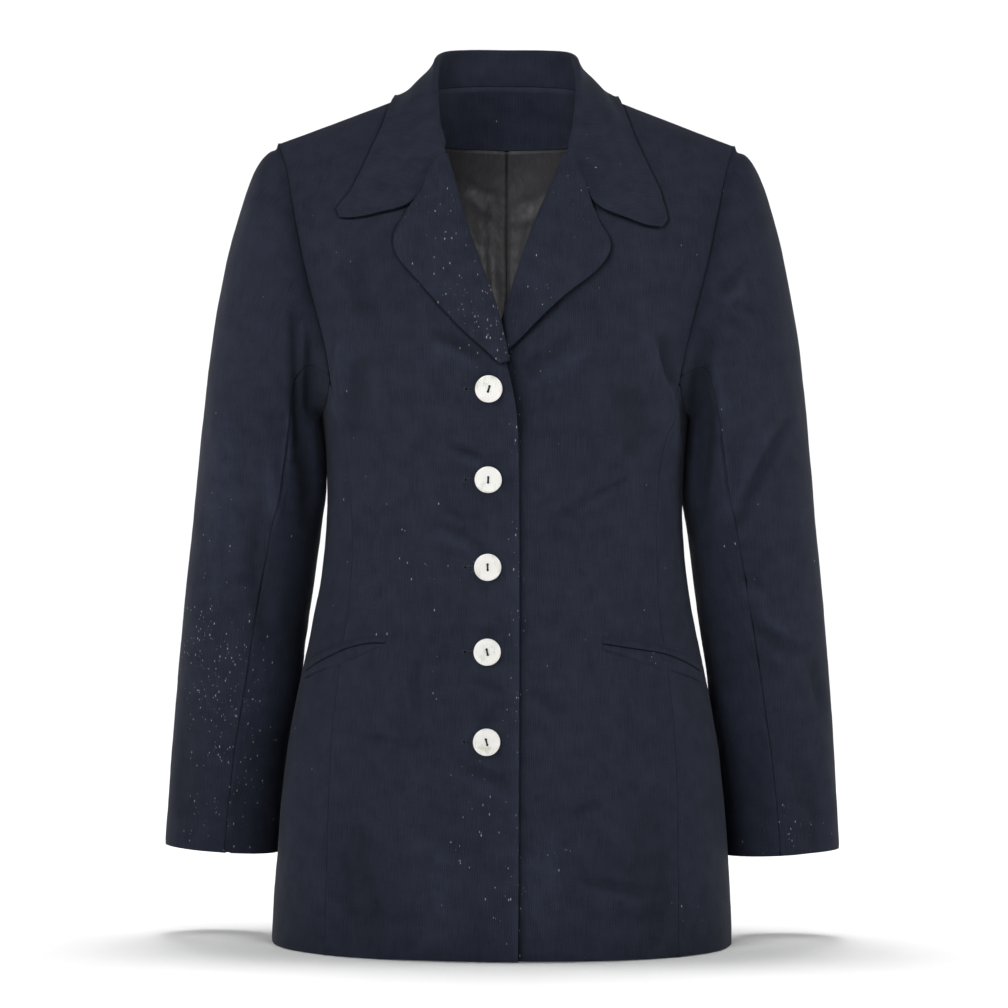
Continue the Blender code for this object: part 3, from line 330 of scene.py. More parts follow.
# %% [markdown]
# ## Lint
# Dark cloth holds white lint. How thickly it lies is noted on the mesh as a value called lint. The
# specks themselves come from a cell pattern: some of its cells get a spot, each of its own size and
# brightness. Fine dust, larger flecks and faint smudges are the same thing at three scales.

# %% Make lint
LINT_WHITE = (0.46, 0.46, 0.48, 1.0)
LINT_KINDS = (                  # cells in a metre, size, how many, how bright, whether in clumps
    (700.0, 0.44, 1.30, 0.75, True), (260.0, 0.21, 0.17, 1.0, False),
    (75.0, 0.30, 0.13, 0.16, False),
)


def lint_specks(recipe, place, cells, size, thickness):
    """Specks in a share of the cells of a pattern. Few are bright and large, most are faint."""
    found = recipe.node("TexVoronoi", Vector=place, Scale=cells)
    random = recipe.node("SeparateColor", Color=found.outputs["Color"])
    large = recipe.plus(recipe.times(random.outputs["Green"], 0.7), 0.3)
    off = recipe.math("DIVIDE", found.outputs["Distance"], large)
    spot = recipe.ramp(off, size, size * 0.4)
    kept = recipe.math("LESS_THAN", random.outputs["Red"], thickness)
    bright = recipe.math("POWER", random.outputs["Blue"], 2.2)
    return recipe.times(recipe.times(spot, kept), bright)


def all_lint(recipe, cloth):
    """The lint of every kind together, 0 where the cloth is clean."""
    lint = recipe.noted("lint")
    clump = recipe.ramp(recipe.noise(recipe.place(), 150.0, 2.0), 0.38, 0.62)
    fibres = recipe.stretched(cloth, 1.0, 0.40)
    specks = 0.0
    for cells, size, many, bright, clumps in LINT_KINDS:
        lies = recipe.times(lint, clump) if clumps else lint
        found = lint_specks(recipe, fibres, cells, size, recipe.times(lies, many))
        specks = recipe.math("MAXIMUM", specks, recipe.times(found, bright))
    return recipe.times(specks, 0.95)


print(len(LINT_KINDS), "kinds of lint")

# %% [markdown]
# ## The suiting
# The cloth is a navy linen look: fine ribs run down each piece, and thicker threads called slubs
# break them up. Its pattern has to follow the cloth and not the room, so it is drawn on the unfolded
# pattern piece, in metres. A cloudy unevenness at two larger scales keeps it from looking printed.

# %% Weave the suiting
RIB = 0.0014                    # from one rib to the next, in metres
NAVY_DARK = (0.0066, 0.0092, 0.0185, 1.0)
NAVY_LIGHT = (0.0186, 0.0232, 0.0400, 1.0)
WAVE_TURN = 2.0 * math.pi / 20.0    # a wave texture of scale 1 repeats over this length
SLUBS = (900.0, 55.0)           # thick threads in a metre, across the piece and along it
WEFTS = (90.0, 1300.0)          # threads that run across


def weave_suiting():
    recipe = Recipe("navy_suiting")
    cloth = recipe.pattern()
    slub = recipe.noise(recipe.stretched(cloth, *SLUBS), 1.0, 3.0)
    weft = recipe.noise(recipe.stretched(cloth, *WEFTS), 1.0, 2.0)
    cloud = recipe.noise(cloth, 14.0, 3.0)
    mottle = recipe.noise(cloth, 70.0, 4.0)
    wave = recipe.node("TexWave", {"wave_profile": "SIN"}, Vector=cloth, Scale=WAVE_TURN / RIB,
                       Distortion=2.2, Detail=2.0, Detail_Scale=0.35)
    thread = recipe.times(wave.outputs["Fac"], 0.30)
    thread = recipe.plus(thread, recipe.times(slub, 0.75))
    thread = recipe.plus(thread, recipe.times(weft, 0.35))
    tone = recipe.plus(thread, recipe.times(cloud, 0.40))
    tone = recipe.plus(tone, recipe.times(mottle, 0.85))
    navy = recipe.mix(recipe.ramp(tone, 0.78, 1.78), NAVY_DARK, NAVY_LIGHT)

    # The seam value gives a thin dark line at the seams, and on the fronts a painted shadow beside the
    # lapels and the collar.
    seam = recipe.ramp(recipe.noted("seam"), 0.0008, 0.0001)
    # Painted light on the ridges of the creases and painted shade in their troughs.
    shade = recipe.plus(1.0, recipe.times(recipe.noted("nap"), 0.20))
    shade = recipe.times(shade, recipe.minus(1.0, recipe.times(seam, 0.60)))
    recipe.paint(recipe.mix(all_lint(recipe, cloth), recipe.scaled(navy, shade), LINT_WHITE))
    recipe.wear(Roughness=0.88, Specular_IOR_Level=0.22, Sheen_Weight=0.03, Sheen_Roughness=0.45)
    recipe.emboss(recipe.minus(thread, recipe.times(seam, 2.0)), 0.55, 0.00035)
    return recipe.material


suiting = weave_suiting()
print("made", suiting.name, "with a rib every", RIB * 1000, "mm")

# %% [markdown]
# ## The lining
# The lining is charcoal satin. Satin is shiny because its threads lie long and flat, so its folds
# show as soft lights. A worn lining is rumpled all over, which a broad soft bump gives. Next to a
# seam its colour is painted darker, as painted shade where the satin turns away from the light.

# %% Weave the satin
CHARCOAL_DARK = (0.027, 0.026, 0.029, 1.0)
CHARCOAL_LIGHT = (0.043, 0.041, 0.045, 1.0)


def weave_satin():
    recipe = Recipe("charcoal_satin")
    cloth = recipe.pattern()
    thread = recipe.noise(recipe.stretched(cloth, 1600.0, 130.0), 1.0, 2.0)
    cloud = recipe.noise(cloth, 22.0, 2.0)
    tone = recipe.plus(recipe.times(thread, 0.5), recipe.times(cloud, 0.5))
    grey = recipe.mix(recipe.ramp(tone, 0.3, 0.7), CHARCOAL_DARK, CHARCOAL_LIGHT)
    # Painted shade beside the lining's seams, where the satin turns away from the light.
    seam = recipe.ramp(recipe.noted("seam"), 0.0022, 0.0004)
    recipe.paint(recipe.scaled(grey, recipe.minus(1.0, recipe.times(seam, 0.80))))
    recipe.wear(Roughness=0.54, Specular_IOR_Level=0.34, Sheen_Weight=0.08, Sheen_Roughness=0.3)
    rumple = recipe.noise(recipe.stretched(cloth, 1.0, 0.55), 62.0, 3.0)
    soft = recipe.emboss(rumple, 0.55, 0.0045)
    recipe.emboss(thread, 0.3, 0.00008, under=soft)
    return recipe.material


satin = weave_satin()
print("made", satin.name)

# %% [markdown]
# ## From a solid back to one layer of cloth
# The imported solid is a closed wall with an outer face, an inner face and a narrow rim. Cloth is easier
# to shape as a single layer, and a thickness can be added last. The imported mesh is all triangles, so
# we first join them in pairs into four-sided faces, which a subdivision surface smooths best. Then we
# cut the mesh along its sharp edges and keep the part that faces outwards.

# %% Take the outer face of a wall
WELD = 0.00001                  # corners closer than this are one
RIM_TURN = math.radians(68.0)   # the cloth's own folds turn less than this at one edge
PAIR_TURN = math.radians(50.0)


def wall_mesh(node):
    """The node's wall with shared corners and four-sided faces."""
    bm = bmesh.new()
    bm.from_mesh(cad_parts[node].data)
    bmesh.ops.remove_doubles(bm, verts=bm.verts, dist=WELD)
    bmesh.ops.join_triangles(bm, faces=bm.faces, angle_face_threshold=PAIR_TURN,
                             angle_shape_threshold=math.pi, topology_influence=1.0)
    bm.normal_update()
    bm.faces.ensure_lookup_table()
    return bm


def islands(bm):
    """The faces in groups, cut at the sharp edges."""
    seen, groups = set(), []
    for start in bm.faces:
        if start in seen:
            continue
        group, todo = [], [start]
        seen.add(start)
        while todo:
            face = todo.pop()
            group.append(face)
            for edge in face.edges:
                if edge.calc_face_angle(0.0) > RIM_TURN:
                    continue
                for other in edge.link_faces:
                    if other not in seen:
                        seen.add(other)
                        todo.append(other)
        groups.append(group)
    return sorted(groups, key=lambda g: -sum(f.calc_area() for f in g))


def outer_layer(node, outwards):
    """One layer of faces. outwards is a direction, or None for the larger face of a fold."""
    bm = wall_mesh(node)
    groups = islands(bm)[:2]
    if outwards is not None:
        facing = Vector(outwards)
        groups.sort(key=lambda g: -sum((f.normal * f.calc_area() for f in g), Vector()).dot(facing))
    kept = set(groups[0])
    bmesh.ops.delete(bm, geom=[f for f in bm.faces if f not in kept], context="FACES")
    return bm


trial = outer_layer("front_right", (0.0, -1.0, 0.0))
print("the outer face of the right front has", len(trial.faces), "faces")
trial.free()

# %% [markdown]
# ## The paper pattern
# A tailor cuts flat pieces. Unwrapping does the same in reverse: it lays the curved face flat with as
# little stretch as it can. We turn the flat piece so that up on the jacket is up on the pattern, and
# scale it to real metres. The result is the piece's size before sewing, and it is also the map
# on which the weave is drawn.

# %% Unfold a layer
def unfold(cloth):
    """Gives the mesh a UV map in metres and returns the flat (width, length) and area."""
    bpy.context.view_layer.objects.active = cloth
    cloth.select_set(True)
    bpy.ops.object.mode_set(mode="EDIT")
    bpy.ops.mesh.select_all(action="SELECT")
    bpy.ops.uv.unwrap(method="ANGLE_BASED", margin=0.0)
    bpy.ops.object.mode_set(mode="OBJECT")
    cloth.select_set(False)
    mesh = cloth.data
    mesh.uv_layers.active.name = "pattern"
    flat = np.zeros(len(mesh.loops) * 2)
    mesh.uv_layers["pattern"].data.foreach_get("uv", flat)
    flat = flat.reshape(-1, 2)
    corner = np.zeros(len(mesh.loops), int)
    mesh.loops.foreach_get("vertex_index", corner)
    height = np.array([v.co.z for v in mesh.vertices])[corner]
    slope = np.linalg.lstsq(np.c_[flat, np.ones(len(flat))], height, rcond=None)[0][:2]
    up = slope / np.linalg.norm(slope)
    flat = flat @ np.array([[up[1], up[0]], [-up[0], up[1]]])
    real = sum(p.area for p in mesh.polygons)
    drawn = sum(abs(polygon_area(flat[p.loop_indices])) for p in mesh.polygons)
    flat *= math.sqrt(real / drawn)
    flat -= flat.min(axis=0)
    mesh.uv_layers["pattern"].data.foreach_set("uv", flat.ravel())
    return smallest_rectangle(flat), real


def smallest_rectangle(flat):
    """Sides of the smallest rectangle of cloth that the piece can be cut from."""
    best = None
    for turn in np.radians(np.arange(0.0, 90.0, 1.0)):
        turned = flat @ np.array([[math.cos(turn), -math.sin(turn)],
                                  [math.sin(turn), math.cos(turn)]])
        sides = turned.max(axis=0) - turned.min(axis=0)
        if best is None or sides[0] * sides[1] < best[0] * best[1]:
            best = sorted(sides)
    return best


def polygon_area(corners):
    """Area of a flat polygon."""
    x, y = corners[:, 0], corners[:, 1]
    return 0.5 * float(np.dot(x, np.roll(y, -1)) - np.dot(y, np.roll(x, -1)))


print("the pattern helper is ready")

# %% [markdown]
# ## Smooth cloth
# A subdivision surface rounds the coarse faces into one flowing sheet. Left alone it would also round
# the corners of the piece, and holes would open where four pieces meet. So each
# corner of the outline gets a crease of 1, which pins it.

# %% Subdivide a layer
CORNER_TURN = math.radians(38.0)


def pin_corners(bm):
    """Marks the sharp turns of the outline so that smoothing leaves them."""
    crease = bm.verts.layers.float.get("crease_vert") or bm.verts.layers.float.new("crease_vert")
    pinned = 0
    for vert in bm.verts:
        rim = [e for e in vert.link_edges if e.is_boundary]
        if len(rim) != 2:
            continue
        a, b = (e.other_vert(vert).co - vert.co for e in rim)
        if math.pi - a.angle(b) > CORNER_TURN:
            vert[crease] = 1.0
            pinned += 1
    return pinned


def refine(cloth, levels):
    """The mesh after so many rounds of subdivision."""
    smooth = cloth.modifiers.new("smooth", "SUBSURF")
    smooth.levels = smooth.render_levels = levels
    smooth.boundary_smooth = "PRESERVE_CORNERS"
    ready = cloth.evaluated_get(bpy.context.evaluated_depsgraph_get())
    fine = bpy.data.meshes.new_from_object(ready)
    cloth.modifiers.clear()
    coarse = cloth.data
    cloth.data = fine
    fine.name = cloth.name
    bpy.data.meshes.remove(coarse)


print("the smoothing helper is ready")

# %% [markdown]
# ## What to cut
# This is the cutting list. Each line gives the way the piece faces, its thickness, how often it is
# smoothed, how it is held and what holds it. The left side is the right one mirrored, so it isn't
# written twice. The collar is folded, so it has no single direction: there we take the larger face.

# %% The cutting list
CLOTH = 0.0016                  # one layer of suiting, with its seam allowance
DOUBLE = 0.0019                 # two layers pressed together
THIN = 0.0010                   # lining and facing
WELT = 0.0012
ONE_SIDE = {                    # faces, thickness, rounds, material, slot, held, held by
    "front": ((0, -1, 0), CLOTH, 3, suiting, "suiting", "hung", ("collar", "back")),
    "side": ((-1, 0, 0), CLOTH, 3, suiting, "suiting", "hung", ("front", "back")),
    "back": ((0, 1, 0), CLOTH, 3, suiting, "suiting", "hung", ("collar", "front")),
    "upper_sleeve": ((-1, 0, 0), CLOTH, 3, suiting, "suiting", "hung", ("front", "back")),
    "under_sleeve": ((1, 0, 0), CLOTH, 3, suiting, "suiting", "hung", ("upper_sleeve", "side")),
    "lapel": ((0, -1, 0), DOUBLE, 2, suiting, "suiting", "folded", ("front",)),
    "lining": ((0, -1, 0), THIN, 3, satin, "lining", "hung", ("back",)),
    "pocket_upper": ((0, -1, 0), WELT, 3, suiting, "suiting", "laid", ("front",)),
    "pocket_lower": ((0, -1, 0), WELT, 3, suiting, "suiting", "laid", ("front",)),
}
MIDDLE = {
    "collar": (None, DOUBLE, 3, suiting, "suiting", "folded", ("front_right", "front_left")),
    "back_neck_facing": ((0, -1, 0), THIN, 3, suiting, "suiting", "hung",
                         ("back_right", "back_left")),
}


def cutting_list():
    """Every piece with its facts, both sides written out."""
    full = dict(MIDDLE)
    for side, sign in (("right", 1), ("left", -1)):
        for name, (faces, thick, rounds, finish, slot, held, holders) in ONE_SIDE.items():
            names = tuple(h if h == "collar" else f"{h}_{side}" for h in holders)
            full[f"{name}_{side}"] = ((faces[0] * sign, faces[1], faces[2]), thick, rounds,
                                      finish, slot, held, names)
    return full


cut_pieces = cutting_list()
print(len(cut_pieces), "pieces of cloth to cut")

# %% [markdown]
# ## Cutting out
# Every line of the list goes through the same steps: take the outer face, pin its corners, unfold it
# for its flat size and smooth it. The flat size is noted before smoothing and sewing, since that is
# the piece as it lies on the cutting table.

# %% Cut every piece
layers = {}                     # node: its cloth object
patterns = {}                   # node: flat size and area

for node, facts in cut_pieces.items():
    bm = outer_layer(node, facts[0])
    pinned = pin_corners(bm)
    mesh = bpy.data.meshes.new("cloth_" + node)
    bm.to_mesh(mesh)
    bm.free()
    cloth = show("cloth_" + node, mesh)
    patterns[node] = unfold(cloth)
    refine(cloth, facts[2])
    layers[node] = cloth
    (width, length), area = patterns[node]
    print(f"{node}: cut {width * 1000:.0f} x {length * 1000:.0f} mm, {area * 1e4:.0f} cm2,",
          f"{pinned} corners, {len(cloth.data.polygons)} faces")

# %% [markdown]
# ## Which edges are sewn together
# The solids leave a narrow gap between the pieces where each seam is. To close it we have to know
# which pieces share a seam, so here are the pairs, once for both sides.

# %% Say what is sewn to what
SEAM_REACH = 0.0050             # edges further apart than this aren't sewn
NECK_REACH = 0.0062             # the facing starts further below the stand
SEAM_DIP = 0.00055
EDGE_DIP = 0.00030              # a free edge is turned under, so it is a little rounded
OVERLAP = 0.00006               # each edge goes this far past the middle
SEAMS = (
    ("front", "side"), ("side", "back"), ("front", "back"),
    ("upper_sleeve", "under_sleeve"), ("upper_sleeve", "front"), ("upper_sleeve", "back"),
    ("upper_sleeve", "side"), ("under_sleeve", "front"), ("under_sleeve", "side"),
    ("under_sleeve", "back"),
)

MIDDLE_SEAMS = (
    ("back_right", "back_left"), ("lining_right", "lining_left"), ("collar", "back_neck_facing"),
    ("lining_right", "back_neck_facing"), ("lining_left", "back_neck_facing"),
)

partners = {node: set() for node in cut_pieces}
side_seams = [(f"{a}_{s}", f"{b}_{s}") for a, b in SEAMS for s in ("right", "left")]
for a, b in side_seams + list(MIDDLE_SEAMS):
    partners[a].add(b)
    partners[b].add(a)
print(sum(len(p) for p in partners.values()) // 2, "pairs of pieces are sewn together")

# %% [markdown]
# ## Points and edges
# All the shaping below works on rows of points, because numbers in rows can be moved all at once.
# These helpers fetch the points and normals of a mesh, put them back, and note the places and the
# directions along each piece's outline before anything moves.

# %% Look along the edges
def points_of(mesh):
    """The mesh's points as rows of x, y, z."""
    flat = np.zeros(len(mesh.vertices) * 3)
    mesh.vertices.foreach_get("co", flat)
    return flat.reshape(-1, 3)


def normals_of(mesh):
    """The mesh's smooth normals as rows."""
    flat = np.zeros(len(mesh.vertices) * 3)
    mesh.vertex_normals.foreach_get("vector", flat)
    return flat.reshape(-1, 3)


def move_points(mesh, points):
    """Puts the mesh's points where the rows say."""
    mesh.vertices.foreach_set("co", points.ravel())
    mesh.update()


def smooth_step(value):
    """0 below 0, 1 above 1 and a soft step between."""
    held = np.clip(value, 0.0, 1.0)
    return held * held * (3.0 - 2.0 * held)


def outline(mesh):
    """The pairs of points along the mesh's open edges."""
    bm = bmesh.new()
    bm.from_mesh(mesh)
    pairs = [tuple(v.index for v in e.verts) for e in bm.edges if e.is_boundary]
    bm.free()
    return pairs


def tree_of(places):
    """A search tree that finds the nearest of these places."""
    tree = kdtree.KDTree(max(1, len(places)))
    for n, p in enumerate(places):
        tree.insert(p, n)
    tree.balance()
    return tree


edge_pairs = {node: outline(cloth.data) for node, cloth in layers.items()}
SAMPLES = 4                     # places looked at along each short edge


def edge_samples(node, rows):
    """The rows' values at places along the outline of a piece."""
    pairs = np.array(edge_pairs[node])
    return [p for k in range(SAMPLES)
            for p in rows[pairs[:, 0]] + (rows[pairs[:, 1]] - rows[pairs[:, 0]]) * k / SAMPLES]


edge_places = {node: edge_samples(node, points_of(layers[node].data)) for node in layers}
edge_normals = {node: edge_samples(node, normals_of(layers[node].data)) for node in layers}
print("outlines noted for", len(edge_places), "pieces")

# %% [markdown]
# ## Sewing
# Each point of an edge looks for the nearest place on the edges it is sewn to, and moves half way to
# it, so both edges meet. It also sinks a little, because a pressed seam pulls the cloth in: that
# soft groove is what makes a seam readable from a distance. Both edges sink the same way, half way
# between the two pieces' own directions, or else a slit would open between them at the armhole.

# %% Sew
sewn_points = {}                # node: which points of its outline are sewn


def sew(node):
    """Moves the outline of a piece half way to its partners. Returns how many points were sewn."""
    mesh = layers[node].data
    spots, normals = points_of(mesh), normals_of(mesh)
    targets = [p for other in sorted(partners[node]) for p in edge_places[other]]
    facing = [p for other in sorted(partners[node]) for p in edge_normals[other]]
    tree = tree_of(targets)
    reach_out = NECK_REACH if node in ("collar", "back_neck_facing") else SEAM_REACH
    along = {}
    for a, b in edge_pairs[node]:
        along.setdefault(a, []).append(b)
        along.setdefault(b, []).append(a)
    moved, sewn = spots.copy(), []
    for n, ends in along.items():
        here = Vector(spots[n])
        dip, way = EDGE_DIP, normals[n]
        if targets:
            found, k, far = tree.find(here)
            if far < reach_out:
                step = found - here
                if len(ends) == 2:
                    run = Vector(spots[ends[0]] - spots[ends[1]]).normalized()
                    step -= run * step.dot(run)
                reach = 0.5 + OVERLAP / max(step.length, 0.0002)
                moved[n] += np.array(step * reach)
                dip, way = SEAM_DIP, (normals[n] + facing[k]) / 2.0
                sewn.append(n)
        moved[n] -= way * dip
    move_points(mesh, moved)
    sewn_points[node] = sewn
    return len(sewn)


for node in layers:
    print(node, "sewn at", sew(node), "of", len(edge_pairs[node]), "edge points")

# %% [markdown]
# ## Creases
# Worn cloth is never smooth. It pulls towards a closed button, breaks over the bust and hangs in long
# folds down the sleeves. A crease is a soft ridge or trough along a line. Its height falls off like a
# bell across the line and fades at both ends. All layers on the same side move by the same
# amount, so a pocket or lapel stays on its front. Simulation could make folds, but not these folds in
# these places, so they are laid one by one.

# %% Where the creases lie
# Each crease: its two ends as seen from the front (x and z), how far its middle bows sideways, its
# half width and its height. All in millimetres. A negative height is a trough.
FRONT_CREASES = (
    (-128, -128, -111, -180, 2, 7.2, -2.5),
    (-118, -208, -123, -275, 2, 7.2, -4.0),
    (-131, -195, -137, -262, 2, 6.3, 3.9),
    (-62, -192, -18, -212, -2, 3.6, -2.9),
    (-66, -203, -22, -222, -2, 4.5, 2.0),
    (-48, -283, -17, -295, -1, 2.7, -3.5),
    (-47, -291, -17, -303, -1, 3.6, 2.5),
    (-50, -335, -16, -343, 2, 2.7, -2.9),
    (-60, -346, -18, -366, -2, 2.7, -2.9),
    (-60, -357, -20, -374, -2, 3.6, 1.6),
    (-30, -431, 4, -433, 3, 2.7, -2.5),
    (-30, -473, 2, -486, -1, 3.6, -3.1),
    (-28, -500, -2, -507, 2, 2.7, -2.5),
    (-34, -544, 7, -560, -2, 3.6, -3.9),
    (-36, -554, 4, -570, -2, 4.5, 2.3),
    (-142, -517, -67, -529, -2, 2.2, -2.0),
    (-72, -450, -69, -518, 1, 4.5, -1.6),
    (-120, -590, -105, -690, 3, 12.6, -2.9),
    (-60, -600, -52, -694, -3, 11.7, 2.5),
    (12, -223, 55, -192, 2, 4.5, -3.1),
    (16, -236, 70, -205, 3, 5.4, 2.0),
    (112, -188, 144, -290, -3, 5.4, 4.7),
    (104, -232, 119, -277, 1, 5.4, -4.0),
    (94, -228, 107, -292, 1, 6.3, -2.9),
    (130, -190, 137, -232, 1, 4.5, -5.6),
    (70, -326, 102, -310, -1, 2.2, -3.5),
    (28, -345, 70, -324, 2, 3.6, -2.0),
    (56, -582, 82, -573, -1, 3.6, -2.3),
    (60, -632, 138, -645, 3, 3.6, -3.5),
    (80, -613, 113, -630, 2, 3.6, -2.5),
    (62, -640, 128, -654, 3, 4.5, 2.0),
    (20, -480, 52, -498, 2, 5.4, -2.0),
    (118, -560, 128, -690, 3, 11.7, -2.5),
    (40, -585, 30, -694, 3, 12.6, 2.3),
)
BACK_CREASES = (
    (-112, -288, -34, -330, 4, 9, -3.4),
    (-108, -306, -30, -348, 4, 9, 2.4),
    (106, -298, 28, -338, -4, 9, -3.2),
    (108, -318, 30, -358, -4, 9, 2.2),
    (-60, -352, 40, -360, 5, 7, -2.4),
    (-128, -160, -118, -262, 4, 10, 2.9),
    (-110, -150, -102, -240, 3, 9, -2.2),
    (128, -168, 116, -266, -4, 10, 2.9),
    (108, -158, 100, -236, -3, 9, -2.2),
    (-86, -60, -34, -76, 3, 8, -2.1),
    (84, -62, 36, -80, -3, 8, -2.1),
    (-100, -520, -92, -690, 4, 16, -2.4),
    (-44, -560, -38, -694, -3, 15, 2.2),
    (52, -540, 60, -694, 3, 15, -2.2),
    (108, -520, 116, -690, -4, 16, 2.4),
)
SLEEVE_CREASES = (
    (-168, -180, -160, -300, 3, 4.5, 4.7),
    (-174, -172, -173, -306, -3, 4.5, -6.0),
    (-193, -290, -186, -346, 2, 5.4, 4.2),
    (-205, -330, -198, -450, 3, 7.2, -3.0),
    (-238, -250, -240, -420, -4, 10.8, 2.5),
    (-262, -480, -268, -620, 3, 10.8, -2.1),
    (-200, -388, -236, -398, -2, 3.6, -1.8),
    (-206, -418, -240, -424, 2, 4.5, -1.8),
    (173, -155, 195, -133, 3, 3.6, -3.9),
    (176, -166, 200, -148, 2, 3.6, 2.1),
    (184, -164, 208, -175, -2, 2.7, -3.0),
    (178, -178, 204, -190, -2, 3.6, -2.1),
    (169, -205, 186, -272, 3, 5.4, 3.9),
    (238, -256, 190, -352, 4, 5.4, -4.7),
    (228, -262, 184, -350, 4, 6.3, 3.4),
    (194, -392, 216, -395, 1, 3.6, -3.5),
    (192, -404, 218, -409, 2, 4.5, 2.5),
    (204, -427, 258, -454, 4, 4.5, -4.2),
    (258, -453, 271, -508, 3, 5.4, -3.4),
    (208, -417, 254, -440, 4, 5.4, 2.6),
    (200, -452, 236, -470, 3, 4.5, -2.1),
    (246, -540, 262, -640, -3, 9, -2.1),
)
ARMPIT_CREASES = (
    (-157, -186, -164, -352, 3, 9, -7.0),
    (157, -180, 164, -350, -3, 10, -8.0),
)
BACK_SLEEVE_CREASES = (
    (-250, -385, -206, -400, 2, 5, -3.1),
    (-252, -402, -208, -418, 2, 6, 2.3),
    (-254, -424, -212, -436, -2, 5, -2.6),
    (-232, -200, -222, -330, 4, 9, -2.3),
    (252, -380, 208, -396, -2, 5, -3.0),
    (254, -398, 210, -412, -2, 6, 2.1),
    (256, -428, 214, -446, 2, 5, -2.6),
    (230, -190, 222, -320, -4, 9, -2.3),
    (-262, -500, -256, -620, 3, 10, -1.8),
    (262, -510, 256, -630, -3, 10, -1.8),
)
LINING_CREASES = (
    (1, -28, 0, -250, 0, 1.6, 1.3),
    (5, -32, 6, -250, 1, 3, -1.2),
    (-10, -40, -7, -200, 3, 5, -1.6),
    (-22, -44, -12, -190, 3, 6, 1.9),
    (-38, -45, -26, -200, -3, 6, -1.5),
    (15, -36, 11, -120, -3, 4, 1.5),
    (22, -50, 16, -190, 3, 5, -1.5),
    (36, -46, 26, -180, 3, 6, 1.8),
    (-42, -46, -6, -62, 3, 4, -1.4),
    (-36, -60, -5, -80, 3, 4, 1.4),
    (9, -70, 44, -52, 3, 4, -1.4),
    (8, -88, 38, -66, 3, 4, 1.5),
    (-30, -96, -6, -112, 3, 4, -1.2),
)
print(len(FRONT_CREASES), "creases on the front,", len(BACK_CREASES), "on the back,",
      len(SLEEVE_CREASES) + len(BACK_SLEEVE_CREASES), "on the sleeves")

# %% [markdown]
# ## The height of a crease
# One formula serves all the creases: a bell across the line and a soft fade towards its ends. Slow
# waves are added because cloth is nowhere quite even, and both die away round the buttons, where the
# layers are held together.

# %% How high a crease stands
MM = 0.001
WAVE_HEIGHT = 0.00095           # the cloth is nowhere quite even
WAVES = ((16, 7, 0, 1.0), (42, 30, 14, 0.55), (95, 90, 0, 0.20))    # across, down, lean, share
BUTTON_CALM = 0.0125            # and lies still round a button


def crease_height(x, z, lines):
    """The height of all these creases at each place."""
    total = np.zeros(len(x))
    for x1, z1, x2, z2, bow, half, tall in np.array(lines) * MM:
        run = np.array([x2 - x1, z2 - z1])
        length = np.linalg.norm(run)
        run /= length
        along = ((x - x1) * run[0] + (z - z1) * run[1]) / length
        across = (x - x1) * run[1] - (z - z1) * run[0] - bow * 4.0 * along * (1.0 - along)
        fade = np.sin(np.pi * np.clip(along, 0.0, 1.0)) ** 0.7
        total += tall * fade * np.exp(-(across / half) ** 2)
    return total


button_places = [sum(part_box(f"button_{n}"), Vector()) / 2.0 for n in range(1, 6)]


def calm(x, z):
    """0 on a button and 1 away from it."""
    share = np.ones(len(x))
    for place in button_places:
        far = ((x - place.x) ** 2 + (z - place.z) ** 2) / BUTTON_CALM ** 2
        share *= 1.0 - np.exp(-far ** 2)
    return share


def waves(spots):
    """Slow hanging waves, longer down than across."""
    return np.array([sum(share * noise.noise(Vector((x * wide, y * wide, z * tall + x * lean)))
                         for wide, tall, lean, share in WAVES) for x, y, z in spots])


print("button places:", [tuple(round(c, 4) for c in p) for p in button_places])

# %% [markdown]
# ## Where cloth meets cloth
# The front edge of the jacket stands a little off the layer below it, which is pressed in beside it:
# that step is what draws the long line down the front. The sleeves hang against the body below the
# armholes and beside the pockets, and swell a little towards it there. At the armhole seam itself the
# creases have to stop, so that the edges that were sewn stay together.

# %% Where cloth meets cloth
FRONT_EDGE_X = 0.0121           # the right front's edge
EDGE_LIFT = 0.0011              # it stands a little off the front below it
UNDER_DIP = 0.0009              # which is pressed in along it
EDGE_TOP = -0.232               # both start below the lapels
EDGE_START = 0.02               # and grow over this length
INNER_FROM, INNER_OVER = 0.15, 0.45     # how far a sleeve's face is turned to the body
SWELLS = (                      # side, height, half length, how far the sleeve comes to the body
    ("right", -0.296, 0.040, 0.0034), ("left", -0.299, 0.041, 0.0032),
    ("right", -0.488, 0.030, 0.0022), ("left", -0.505, 0.022, 0.0012),
)


def edge_height(node, x, z):
    """The right front's edge lifts and the left front dips beside it."""
    below = smooth_step((EDGE_TOP - z) / EDGE_START)
    if node == "front_right":
        return below * EDGE_LIFT * np.exp(-((x - FRONT_EDGE_X) / 0.0060) ** 2)
    if node == "front_left":
        return -below * UNDER_DIP * np.exp(-((x - FRONT_EDGE_X - 0.0015) / 0.0040) ** 2)
    return 0.0


def swell(node, z, normals):
    """The sleeve leans on the body below the armhole and beside the pocket."""
    inwards = normals[:, 0] * (1.0 if node.endswith("right") else -1.0)
    total = np.zeros(len(z))
    for side, middle, half, far in SWELLS:
        if node.endswith(side):
            total += far * np.exp(-((z - middle) / half) ** 4)
    return total * smooth_step((inwards - INNER_FROM) / INNER_OVER)


def armhole_tree(side):
    """Places along the armhole, where sleeve and body are sewn together."""
    sleeve = [p for name in ("upper_sleeve", "under_sleeve") for p in edge_places[f"{name}_{side}"]]
    near = tree_of(sleeve)
    return tree_of([p for name in ("front", "side", "back") for p in edge_places[f"{name}_{side}"]
                    if near.find(p)[2] < SEAM_REACH])


ARMHOLE_CALM = 0.014            # creases start this far from the armhole seam
armholes = {side: armhole_tree(side) for side in ("right", "left")}


